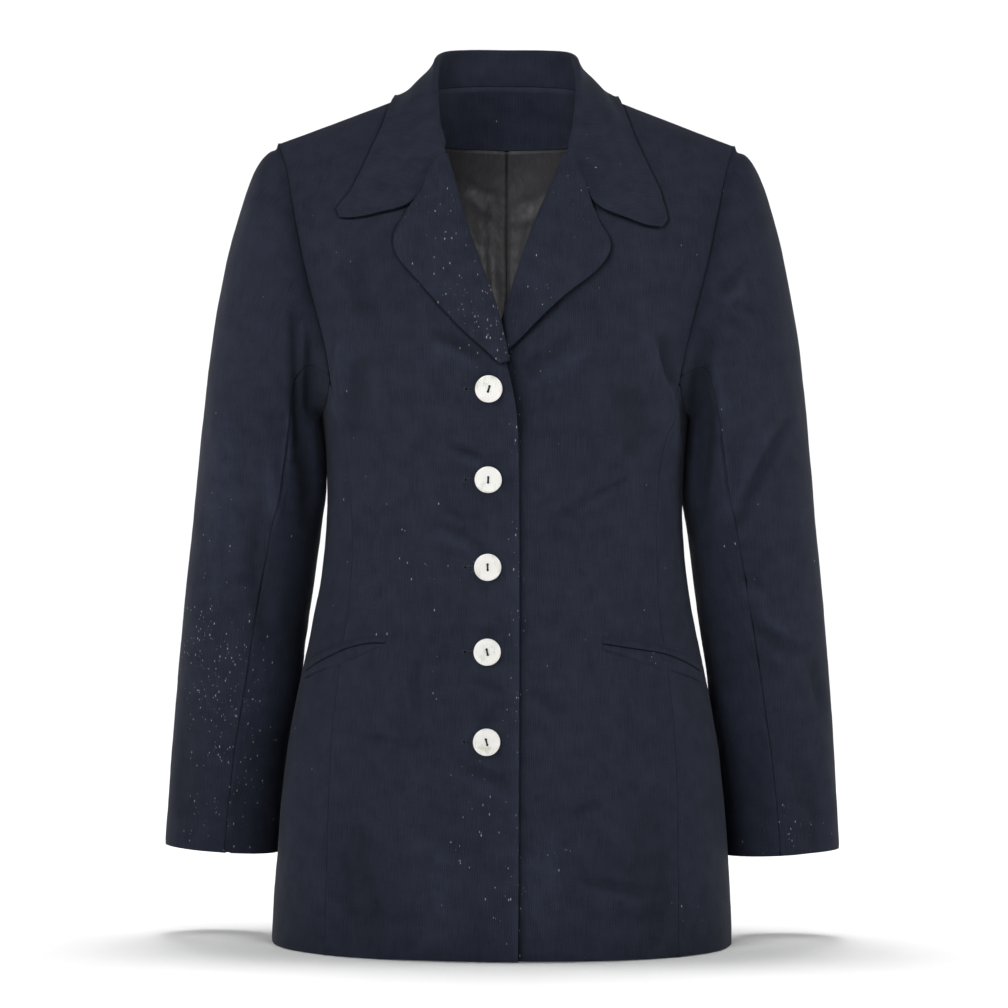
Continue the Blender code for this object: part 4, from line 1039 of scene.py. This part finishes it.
def off_armhole(spots):
    """0 on an armhole seam and 1 away from it, so that both its edges stay together."""
    far = [min(tree.find(p)[2] for tree in armholes.values()) for p in spots]
    return smooth_step(np.array(far) / ARMHOLE_CALM)


print("edges and underarms:", EDGE_LIFT, SWELLS[0])

# %% [markdown]
# ## Notes for the material
# A material can read a number off each point of the mesh. We write two: how far the point lies from
# its piece's own seams, which shows as a thin dark line, and how high the creases lift it, which is
# painted light on the ridges and painted shade in the troughs. Beside a lapel or the collar's fall the
# front counts as near a seam too: that darkening is a painted shadow of the lapel and the collar.

# %% Note the seams and the painted shadow
CREASE_SHADE_HEIGHT = 0.0012             # a crease this high is painted fully lighter, and one this deep fully darker


def write_value(mesh, name, values):
    """A number for each point, which a material can read."""
    layer = mesh.attributes.new(name, "FLOAT", "POINT")
    layer.data.foreach_set("value", np.asarray(values, np.float32))


# The lapels and the collar, whose painted shadow falls on the fronts.
LEAVES = ("lapel_right", "lapel_left", "collar")
PAINTED_SHADOW_REACH = 0.26               # the painted shadow beside a lapel's edge reaches about four times as far as a seam's line
FAR_OFF = 0.01                  # further than this from a seam it makes no difference
painted_shadow_edges = tree_of([(p[0], 0.0, p[2]) for node in LEAVES for p in edge_places[node]])


def note_seams_and_shadow(node):
    """Writes how far each point lies from the seams of its own piece, in metres. On the fronts a scaled
    distance to the lapels' and the collar's edges goes in too, for their painted shadow.
    """
    mesh = layers[node].data
    spots = points_of(mesh)
    far = np.full(len(spots), FAR_OFF)
    if sewn_points[node]:
        tree = tree_of([spots[n] for n in sewn_points[node]])
        far = [min(tree.find(spot)[2], FAR_OFF) for spot in spots]
    # On the fronts, the scaled distance to a lapel's or the collar's edge paints their shadow.
    if node.startswith("front"):
        painted_shadow = [painted_shadow_edges.find((x, 0.0, z))[2] * PAINTED_SHADOW_REACH for x, _, z in spots]
        far = np.minimum(far, painted_shadow)
    write_value(mesh, "seam", far)


for node in layers:
    note_seams_and_shadow(node)
print("seams noted on", len(layers), "pieces")

# %% [markdown]
# ## Pressing
# Now every piece moves by the creases of its own place. The body's creases push straight out from
# its middle line and the sleeves' along their own surface. The front's creases fade out
# at the side, where the back's take over.

# %% Press the creases into the cloth
BODY_MIDDLE_Y = -0.005
SIDE_BLEND = 0.03               # front creases fade out over this depth at the side
FRONT_TURN = (3.0, 0.5)         # a sleeve has the front's creases where its faces look forwards
ARMPIT_TURN = (2.5, -0.6)
LINING_LEAST = -1.2 * MM        # behind the lining there is no more room than this
FREE_OF_ARMHOLE = ("collar", "lapel", "lining", "pocket", "back_neck")


def press(node):
    """Moves a piece by the creases of its place."""
    mesh = layers[node].data
    spots, normals = points_of(mesh), normals_of(mesh)
    x, y, z = spots.T
    if "sleeve" in node:
        forward = smooth_step(-normals[:, 1] * FRONT_TURN[0] + FRONT_TURN[1])
        height = forward * crease_height(x, z, SLEEVE_CREASES)
        armpit = smooth_step(-normals[:, 1] * ARMPIT_TURN[0] + ARMPIT_TURN[1])
        height += armpit * crease_height(x, z, ARMPIT_CREASES)
        height += (1.0 - forward) * crease_height(x, z, BACK_SLEEVE_CREASES)
        height += swell(node, z, normals)
        outwards = normals
    else:
        forward = smooth_step((BODY_MIDDLE_Y - y) / SIDE_BLEND)
        behind = smooth_step((y - BODY_MIDDLE_Y) / SIDE_BLEND)
        height = forward * crease_height(x, z, FRONT_CREASES)
        height += behind * crease_height(x, z, BACK_CREASES) + edge_height(node, x, z)
        outwards = np.c_[x, y - BODY_MIDDLE_Y, np.zeros(len(x))]
        outwards /= np.linalg.norm(outwards, axis=1)[:, None]
    if "lining" in node:
        height -= np.maximum(crease_height(x, z, LINING_CREASES), LINING_LEAST)
    # The crease height is noted for painted light on the ridges and painted shade in the troughs.
    write_value(mesh, "nap", np.clip(height / CREASE_SHADE_HEIGHT, -1.0, 1.0))
    height = (height + waves(spots) * WAVE_HEIGHT) * calm(x, z)
    if not node.startswith(FREE_OF_ARMHOLE):
        height *= off_armhole(spots)
    move_points(mesh, spots + outwards * height[:, None])
    return height.min(), height.max()


for node in layers:
    low, high = press(node)
    print(f"{node}: pressed by {low * 1000:.1f} to {high * 1000:.1f} mm")

# %% [markdown]
# ## Pressed pocket edges
# A jetted pocket is two narrow welts set into a slit. Only the mouth is a free folded edge. The outer
# edges and the ends are seams, so they sink into the front and nearly vanish.

# %% Sink the pocket's seams
WELT_SINK = 0.0021
WELT_FADE = 0.0022
UPPER_RAISE = 0.0005            # at the mouth the upper welt stands proud
LOWER_DROP = 0.0006             # and the lower one tucks under it
MOUTH_FADE = 0.0016
END_WIDTH = 0.0004              # the welt's ends are seams too


def sink_welt(node):
    """Lowers a welt towards all its edges but the mouth."""
    mesh = layers[node].data
    spots = points_of(mesh)
    x, y, z = spots.T
    rim = sorted({n for pair in edge_pairs[node] for n in pair})
    upper = "upper" in node
    middle = np.polyval(np.polyfit(x, z, 4), x)
    on_mouth = z < middle if upper else z > middle
    at_end = (x - x.min() < END_WIDTH) | (x.max() - x < END_WIDTH)
    mouth = tree_of([spots[n] for n in rim if on_mouth[n] and not at_end[n]])
    seam = tree_of([spots[n] for n in rim if not on_mouth[n] or at_end[n]])
    step = UPPER_RAISE if upper else -LOWER_DROP
    sunk = [WELT_SINK * math.exp(-(seam.find(p)[2] / WELT_FADE) ** 2) for p in spots]
    raised = [step * math.exp(-(mouth.find(p)[2] / MOUTH_FADE) ** 2) for p in spots]
    spots[:, 1] -= np.array(raised) - np.array(sunk)
    move_points(mesh, spots)


for node in layers:
    if node.startswith("pocket"):
        sink_welt(node)
print("pocket seams sunk by", WELT_SINK * 1000, "mm")

# %% [markdown]
# ## Where the lint lies
# Dark cloth shows every fibre that it rubs off. It gathers on the right sleeve, along the right lapel
# and the front edge. Each soft patch below adds to a value that the mesh carries to its material.

# %% Scatter the lint
LINT_PATCHES = (                # x, z, half width, half height, thickness; millimetres but the last
    (-233, -485, 30, 40, 1.00), (-252, -445, 22, 26, 0.80), (-222, -540, 30, 52, 0.55),
    (-240, -600, 30, 24, 0.30), (-246, -380, 26, 60, 0.10), (-54, -92, 18, 20, 0.35),
    (-40, -130, 22, 28, 0.60), (-24, -170, 20, 26, 0.80), (-12, -200, 14, 18, 0.55),
    (8, -262, 5, 46, 0.55), (10, -372, 5, 66, 0.50), (10, -500, 6, 80, 0.35),
    (6, -636, 12, 44, 0.40), (-20, -590, 18, 60, 0.22), (-50, -470, 16, 14, 0.30),
    (-62, -392, 16, 16, 0.30), (-26, -386, 12, 10, 0.25), (44, -618, 12, 16, 0.30),
    (122, -458, 10, 7, 0.80), (250, -603, 34, 14, 0.50), (60, -90, 14, 30, 0.16),
    (30, -180, 18, 30, 0.18), (-100, -360, 30, 40, 0.08), (160, -660, 14, 10, 0.20),
)
LINT_EVERYWHERE = 0.004


def scatter_lint(mesh):
    """Writes how thickly the lint lies at each point."""
    spots = points_of(mesh)
    x, y, z = spots.T
    total = np.full(len(x), LINT_EVERYWHERE)
    ahead = smooth_step((0.01 - y) / 0.02)
    for cx, cz, wide, tall, thick in LINT_PATCHES:
        far = ((x - cx * MM) / (wide * MM)) ** 2 + ((z - cz * MM) / (tall * MM)) ** 2
        total += thick * ahead * np.exp(-far)
    write_value(mesh, "lint", np.clip(total, 0.0, 1.0))
    return total.max()


for node, cloth in layers.items():
    print(f"{node}: lint up to {scatter_lint(cloth.data):.2f}")

# %% [markdown]
# ## Thickness
# The last step gives each layer its thickness, inwards, so that the outer face stays where it is.
# Solidify also closes the edge all round.

# %% Thicken every piece
LEAST_WIDTH = 0.0101            # the narrow welts are cut with a turning
SHARP_TURN = math.radians(50.0) # edges that turn more than this look sharp


def finish_cloth(node):
    _, thick, _, finish, slot, held, holders = cut_pieces[node]
    cloth = layers[node]
    wall = cloth.modifiers.new("thickness", "SOLIDIFY")
    wall.thickness = thick
    wall.offset = -1.0
    wall.use_quality_normals = True
    ready = cloth.evaluated_get(bpy.context.evaluated_depsgraph_get())
    thin, cloth.data = cloth.data, bpy.data.meshes.new_from_object(ready)
    cloth.modifiers.clear()
    bpy.data.meshes.remove(thin)
    cloth.data.name = cloth.name
    cloth.data.shade_smooth()
    cloth.data.set_sharp_from_angle(angle=SHARP_TURN)
    cloth.data.materials.clear()
    cloth.data.materials.append(finish)
    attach(cloth, "root")
    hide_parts(node)
    (width, length), area = patterns[node]
    width = max(width, LEAST_WIDTH)
    return sum(len(p.vertices) - 2 for p in cloth.data.polygons)


total = 0
for node in layers:
    total += finish_cloth(node)
print("cloth of", total, "triangles")

# %% [markdown]
# ## Pearl
# The buttons are cut from shell. Shell is laid down in thin layers, so it has cloudy patches of cream
# and grey-green, and thin arcs where the cut runs through the layers. A clear coat gives the polish.

# %% Cut the pearl
SHELL_CREAM = (0.90, 0.89, 0.85, 1.0)
SHELL_GREEN = (0.62, 0.63, 0.50, 1.0)
SHELL_ARC = (0.50, 0.53, 0.48, 1.0)


def cut_pearl():
    recipe = Recipe("pearl_button")
    place = recipe.place()
    drift = recipe.noise(place, 90.0, 2.0)
    layer = recipe.noise(place, 260.0, 3.0)
    bands = recipe.node("TexWave", {"wave_profile": "SIN"}, Vector=place, Scale=150.0,
                        Distortion=7.0, Detail=2.0)
    patch = recipe.times(recipe.ramp(drift, 0.50, 0.72), recipe.ramp(layer, 0.35, 0.65))
    arcs = recipe.times(recipe.ramp(bands.outputs["Fac"], 0.80, 1.0), recipe.ramp(drift, 0.42, 0.62))
    shell = recipe.mix(recipe.times(patch, 0.85), SHELL_CREAM, SHELL_GREEN)
    recipe.paint(recipe.mix(recipe.times(arcs, 0.30), shell, SHELL_ARC))
    recipe.wear(Roughness=0.22, Specular_IOR_Level=0.5, Coat_Weight=0.5, Coat_Roughness=0.08,
                Subsurface_Weight=0.12, Subsurface_Scale=0.0015)
    return recipe.material


def dye_thread(name, colour, gloss):
    recipe = Recipe(name)
    fibre = recipe.noise(recipe.place(), 2600.0, 2.0)
    dark = tuple(c * 0.6 for c in colour) + (1.0,)
    recipe.paint(recipe.mix(fibre, dark, colour + (1.0,)))
    recipe.wear(Roughness=0.7, Specular_IOR_Level=gloss, Sheen_Weight=0.2)
    return recipe.material


pearl = cut_pearl()
black_thread = dye_thread("black_button_thread", (0.010, 0.010, 0.012), 0.2)
navy_thread = dye_thread("navy_buttonhole_thread", (0.026, 0.031, 0.046), 0.25)
# A near-black material for the painted shade in each buttonhole's slit and eyelet.
painted_slit_shade = dye_thread("shade_in_the_slit", (0.0025, 0.0025, 0.004), 0.0)
print("made", pearl.name, black_thread.name, navy_thread.name, painted_slit_shade.name)

# %% [markdown]
# ## A button from the lathe
# A shell button is turned on a lathe: a rounded rim, a shallow dish and two drilled holes. We lay
# rings of points flat, round the holes and round the middle, and join them into triangles. Then each
# point is lifted to the height that the lathe would leave.

# %% Lay out a button
TURNED = (                      # share of the radius, height of the upper face in millimetres
    (1.000, 0.00), (0.996, 0.42), (0.980, 0.78), (0.950, 1.05), (0.910, 1.22), (0.860, 1.28),
    (0.800, 1.26), (0.740, 1.18), (0.680, 1.08), (0.600, 1.00), (0.480, 0.94), (0.360, 0.91),
    (0.240, 0.90), (0.120, 0.90), (0.000, 0.90),
)
SIDES_FROM = ((0.7, 64), (0.3, 32), (-1.0, 12))    # from this share of the radius on, so many sides
LOWER_FACE = -0.92              # the lower face's height for each unit of the upper one's
HOLE_RADIUS = 0.0010
HOLE_HALF_PITCH = 0.0023
HOLE_SIDES = 20
HOLE_RINGS = (1.0, 1.25, 1.6)   # shares of the hole's radius
HOLE_BEVEL = 0.00016
HOLE_ROOM = 0.3                 # rings of the face keep this many radii off the outer hole ring
HOLE_EDGE, RIM, FACE = 0, -1, 9     # kinds of point. A hole's rings count up from its edge.


def turned_height(share):
    """The height of the upper face at a share of the radius."""
    shares = [s for s, _ in TURNED][::-1]
    heights = [h * MM for _, h in TURNED][::-1]
    return float(np.interp(share, shares, heights))


HOLE_MIDDLES = [(0.0, HOLE_HALF_PITCH), (0.0, -HOLE_HALF_PITCH)]


def button_points(radius):
    """The points of a button laid flat, each with its kind."""
    flat, kinds = [], []
    for cx, cy in HOLE_MIDDLES:
        for ring, share in enumerate(HOLE_RINGS):
            for n in range(HOLE_SIDES):
                turn = 2.0 * math.pi * (n + 0.5 * ring) / HOLE_SIDES
                flat.append((cx + HOLE_RADIUS * share * math.cos(turn),
                             cy + HOLE_RADIUS * share * math.sin(turn)))
                kinds.append(ring)
    keep_off = HOLE_RADIUS * (HOLE_RINGS[-1] + HOLE_ROOM)
    for ring, (share, _) in enumerate(TURNED):
        sides = [n for least, n in SIDES_FROM if share > least][0]
        for n in range(sides if share > 0.0 else 1):
            turn = 2.0 * math.pi * (n + 0.5 * (ring % 2)) / sides
            x, y = share * radius * math.cos(turn), share * radius * math.sin(turn)
            if min(math.hypot(x - cx, y - cy) for cx, cy in HOLE_MIDDLES) > keep_off:
                flat.append((x, y))
                kinds.append(RIM if share == 1.0 else FACE)
    return flat, kinds


print("a button has", len(button_points(0.011)[0]), "points on each face")

# %% [markdown]
# ## Both faces and the holes
# The flat points are joined into triangles once and used twice, for the upper and the lower face.
# The triangles inside a hole are left out, and a short wall joins the two faces there.

# %% Turn a button
def button_mesh(name, radius, frame_matrix):
    """A turned button with two holes, its axis along the frame's z."""
    flat, kinds = button_points(radius)
    drawn = geometry.delaunay_2d_cdt([Vector(p) for p in flat], [], [], 0, 1e-7)
    places, triangles = drawn[0], drawn[2]
    source = [ids[0] for ids in drawn[3]]
    kinds = [kinds[k] for k in source]
    top, bottom = [], []
    for (x, y), kind in zip(places, kinds):
        high = turned_height(math.hypot(x, y) / radius)
        if kind == HOLE_EDGE:
            high -= HOLE_BEVEL
        top.append((x, y, 0.0 if kind == RIM else high))
        bottom.append((x, y, 0.0 if kind == RIM else high * LOWER_FACE))
    count = len(places)
    faces = []
    for a, b, c in triangles:
        if all(kinds[n] == HOLE_EDGE for n in (a, b, c)):
            middle = (Vector(places[a]) + Vector(places[b]) + Vector(places[c])) / 3.0
            if min((middle - Vector(hole)).length for hole in HOLE_MIDDLES) < HOLE_RADIUS:
                continue
        faces += [(a, b, c), (c + count, b + count, a + count)]
    rows = {}
    for n in range(count):
        if kinds[n] == HOLE_EDGE:
            rows.setdefault(source[n] // (HOLE_SIDES * len(HOLE_RINGS)), []).append((source[n], n))
    for row in rows.values():
        row = [n for _, n in sorted(row)]
        for n, now in enumerate(row):
            after = row[(n + 1) % len(row)]
            faces.append((now, now + count, after + count, after))
    made = mesh_object(name, [frame_matrix @ Vector(p) for p in top + bottom], faces)
    bm = bmesh.new()
    bm.from_mesh(made.data)
    bmesh.ops.remove_doubles(bm, verts=bm.verts, dist=0.000001)
    bmesh.ops.recalc_face_normals(bm, faces=bm.faces)
    bm.to_mesh(made.data)
    bm.free()
    made.data.shade_smooth()
    made.data.set_sharp_from_angle(angle=SHARP_TURN)
    return made


print("the lathe is ready")

# %% [markdown]
# ## Where each button sits
# The place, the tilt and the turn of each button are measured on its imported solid: its thin
# direction is its axis, and the points of its holes lie along one line.

# %% Put the buttons on
NEAR_AXIS, OFF_AXIS = 0.0004, 0.0036    # the holes' points lie between these


def button_frame(node):
    """Middle, tilt and turn of a packed button: z is its axis, y runs from hole to hole."""
    spots = np.array([tuple(v.co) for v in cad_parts[node].data.vertices])
    low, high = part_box(node)
    middle = (Vector(low) + Vector(high)) / 2.0
    off = spots - np.array(middle)
    _, _, axes = np.linalg.svd(off - off.mean(axis=0), full_matrices=False)
    axis = Vector(axes[2]) * (-1.0 if axes[2][1] > 0.0 else 1.0)
    radial = off - np.outer(off @ np.array(axis), np.array(axis))
    far = np.linalg.norm(radial, axis=1)
    inner = radial[(far < OFF_AXIS) & (far > NEAR_AXIS)]
    _, _, lines = np.linalg.svd(inner, full_matrices=False)
    line = Vector(lines[0]) * (1.0 if lines[0][2] > 0.0 else -1.0)
    across = line.cross(axis).normalized()
    line = axis.cross(across).normalized()
    turned = Matrix((across, line, axis)).transposed().to_4x4()
    return Matrix.Translation(middle) @ turned, float(far.max())


button_frames = {}
for n in range(1, 6):
    node = f"button_{n}"
    button_frames[node], radius = button_frame(node)
    made = button_mesh("pearl_" + node, radius, button_frames[node])
    made.data.materials.append(pearl)
    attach(made, "root")
    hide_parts(node)
    lean = math.degrees(math.atan2(button_frames[node][0][1], button_frames[node][2][1]))
    print(f"{node}: {2000 * radius:.1f} mm across, holes lean {lean:.0f} degrees")

# %% [markdown]
# ## Thread
# Each button is sewn on with black thread through its two holes. A thread is a thin tube along a line
# of points, so one helper makes every thread: the bars on the buttons and the stitches round the
# buttonholes.

# %% Sew the buttons on
BAR_THREADS = (-0.00042, 0.0, 0.00042)    # how far each thread lies off the middle
BAR_RADIUS = 0.00030
BAR_TOP = 0.00122                # height of a thread between the holes
SHANK_DEPTH = -0.0021            # the thread goes down to the cloth


def tube(points, radius, sides):
    """Points and faces of a tube along a line."""
    spots = [Vector(p) for p in points]
    corners, faces = [], []
    for n, here in enumerate(spots):
        run = (spots[min(n + 1, len(spots) - 1)] - spots[max(n - 1, 0)]).normalized()
        guide = Vector((1.0, 0.0, 0.0)) if abs(run.x) < 0.8 else Vector((0.0, 0.0, 1.0))
        side = run.cross(guide).normalized()
        other = run.cross(side)
        for k in range(sides):
            turn = 2.0 * math.pi * k / sides
            corners.append(here + (side * math.cos(turn) + other * math.sin(turn)) * radius)
    for n in range(len(spots) - 1):
        for k in range(sides):
            after = (k + 1) % sides
            faces.append((n * sides + k, n * sides + after, (n + 1) * sides + after,
                          (n + 1) * sides + k))
    faces.append(tuple(range(sides))[::-1])
    faces.append(tuple(range((len(spots) - 1) * sides, len(spots) * sides)))
    return corners, faces


def join_tubes(name, tubes, material):
    """One object from several tubes."""
    corners, faces = [], []
    for points, quads in tubes:
        faces += [tuple(k + len(corners) for k in quad) for quad in quads]
        corners += points
    made = mesh_object(name, corners, faces)
    made.data.shade_smooth()
    made.data.set_sharp_from_angle(angle=math.radians(60.0))
    made.data.materials.append(material)
    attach(made, "root")
    return made


def bar_path(offset):
    """Up through one hole, across and down through the other."""
    half = HOLE_HALF_PITCH
    rise = ((half, SHANK_DEPTH), (half, 0.0), (half, 0.00070), (half * 0.93, 0.00105),
            (half * 0.80, BAR_TOP), (half * 0.4, BAR_TOP + 0.00005))
    path = [(offset, y, z) for y, z in rise]
    return path + [(offset, -y, z) for y, z in rise[::-1]]


for node, place in button_frames.items():
    tubes = [tube([place @ Vector(p) for p in bar_path(offset)], BAR_RADIUS, 8)
             for offset in BAR_THREADS]
    made = join_tubes("thread_of_" + node, tubes, black_thread)
print("three threads through each button, in tubes of", BAR_RADIUS * 2000, "mm")

# %% [markdown]
# ## Buttonholes
# A tailored buttonhole is a slit with a small round eyelet at one end, edged with close stitches. The
# button covers most of it, and the eyelet end peeps out. Each stitch is a short thread over the
# edge of the slit. Nothing is cut: a near-black sheet laid just on the cloth paints the shade in the
# slit and the eyelet. The places are found by shooting a ray at the pressed cloth.

# %% Edge the buttonholes
EYELET_OFF = 0.0184             # from the button's middle to the eyelet
SLIT_END = 0.0070               # the slit runs this far past the middle, under the button
EYELET_RADIUS = 0.00085
STITCH_WIDTH = 0.00135
STITCH_GAP = 0.00042
STITCH_RADIUS = 0.00015
STITCH_RISE = 0.00016
STITCH_OFF = 0.00012            # stitches start this far off the slit's middle line
SLIT_HALF = 0.0002              # half the width of the slit's shade
SHADE_LIFT = 0.00010            # which lies just on the cloth
SLIT_ROWS = 12
front_cloth = BVHTree.FromObject(layers["front_right"], bpy.context.evaluated_depsgraph_get())


def on_cloth(x, z, lift):
    """The place on the right front at x and z, lifted off it."""
    hit, normal, _, _ = front_cloth.ray_cast(Vector((x, -1.0, z)), Vector((0.0, 1.0, 0.0)))
    if normal.y > 0.0:
        normal = -normal
    return hit + normal * lift


def hole_edge():
    """Places along the slit and round the eyelet, each with its way outwards."""
    run = np.arange(-SLIT_END, EYELET_OFF - EYELET_RADIUS, STITCH_GAP)
    edge = [((-d, STITCH_OFF), (0.0, 1.0)) for d in run]
    for turn in np.arange(math.radians(110.0), math.radians(251.0), math.radians(20.0)):
        way = (math.cos(turn), math.sin(turn))
        edge.append(((way[0] * EYELET_RADIUS - EYELET_OFF, way[1] * EYELET_RADIUS), way))
    return edge + [((-d, -STITCH_OFF), (0.0, -1.0)) for d in run[::-1]]


def stitch(place, spot, way, jitter):
    """One stitch from the slit's edge outwards, arched over the edge."""
    path = []
    for share, lift in ((0.0, -0.5), (0.12, 0.8), (0.45, 1.0), (0.85, 0.7), (1.0, -0.6)):
        reach = share * STITCH_WIDTH * (1.0 + jitter)
        path.append(on_cloth(place.x + spot[0] + way[0] * reach, place.z + spot[1] + way[1] * reach,
                             STITCH_RISE * lift))
    return path


for number, place in enumerate(button_places, start=1):
    tubes = []
    for n, (spot, way) in enumerate(hole_edge()):
        jitter = 0.16 * noise.noise(Vector((n * 0.73, number * 5.1, 0.0)))
        tubes.append(tube(stitch(place, spot, way, jitter), STITCH_RADIUS, 5))
    join_tubes(f"buttonhole_stitches_{number}", tubes, navy_thread)
    # A near-black sheet just on the cloth paints the shade in the eyelet and along the slit.
    shade = [on_cloth(place.x - EYELET_OFF + EYELET_RADIUS * math.cos(turn),
                      place.z + EYELET_RADIUS * math.sin(turn), SHADE_LIFT)
             for turn in np.radians(np.arange(0.0, 360.0, 24.0))]
    strip = [on_cloth(place.x - d, place.z + half, SHADE_LIFT)
             for d in np.linspace(-SLIT_END, EYELET_OFF, SLIT_ROWS) for half in (-SLIT_HALF, SLIT_HALF)]
    quads = [(2 * k, 2 * k + 1, 2 * k + 3, 2 * k + 2) for k in range(SLIT_ROWS - 1)]
    round_face = tuple(range(len(strip), len(strip) + len(shade)))
    slit = mesh_object(f"buttonhole_slit_{number}", strip + shade, quads + [round_face])
    slit.data.materials.append(painted_slit_shade)
    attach(slit, "root")
print(len(hole_edge()), "stitches round each of", len(button_places), "buttonholes")

# %% [markdown]
# ## Last things
# Each visible piece joins the lights that are meant for it.

# %% Link the pieces to their lights
INSIDE = ("cloth_back_neck_facing", "cloth_lining")    # what the neck's own light reaches
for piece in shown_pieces():
    lit_by["jacket"].objects.link(piece)
    if piece.name.startswith(INSIDE):
        lit_by["inside"].objects.link(piece)
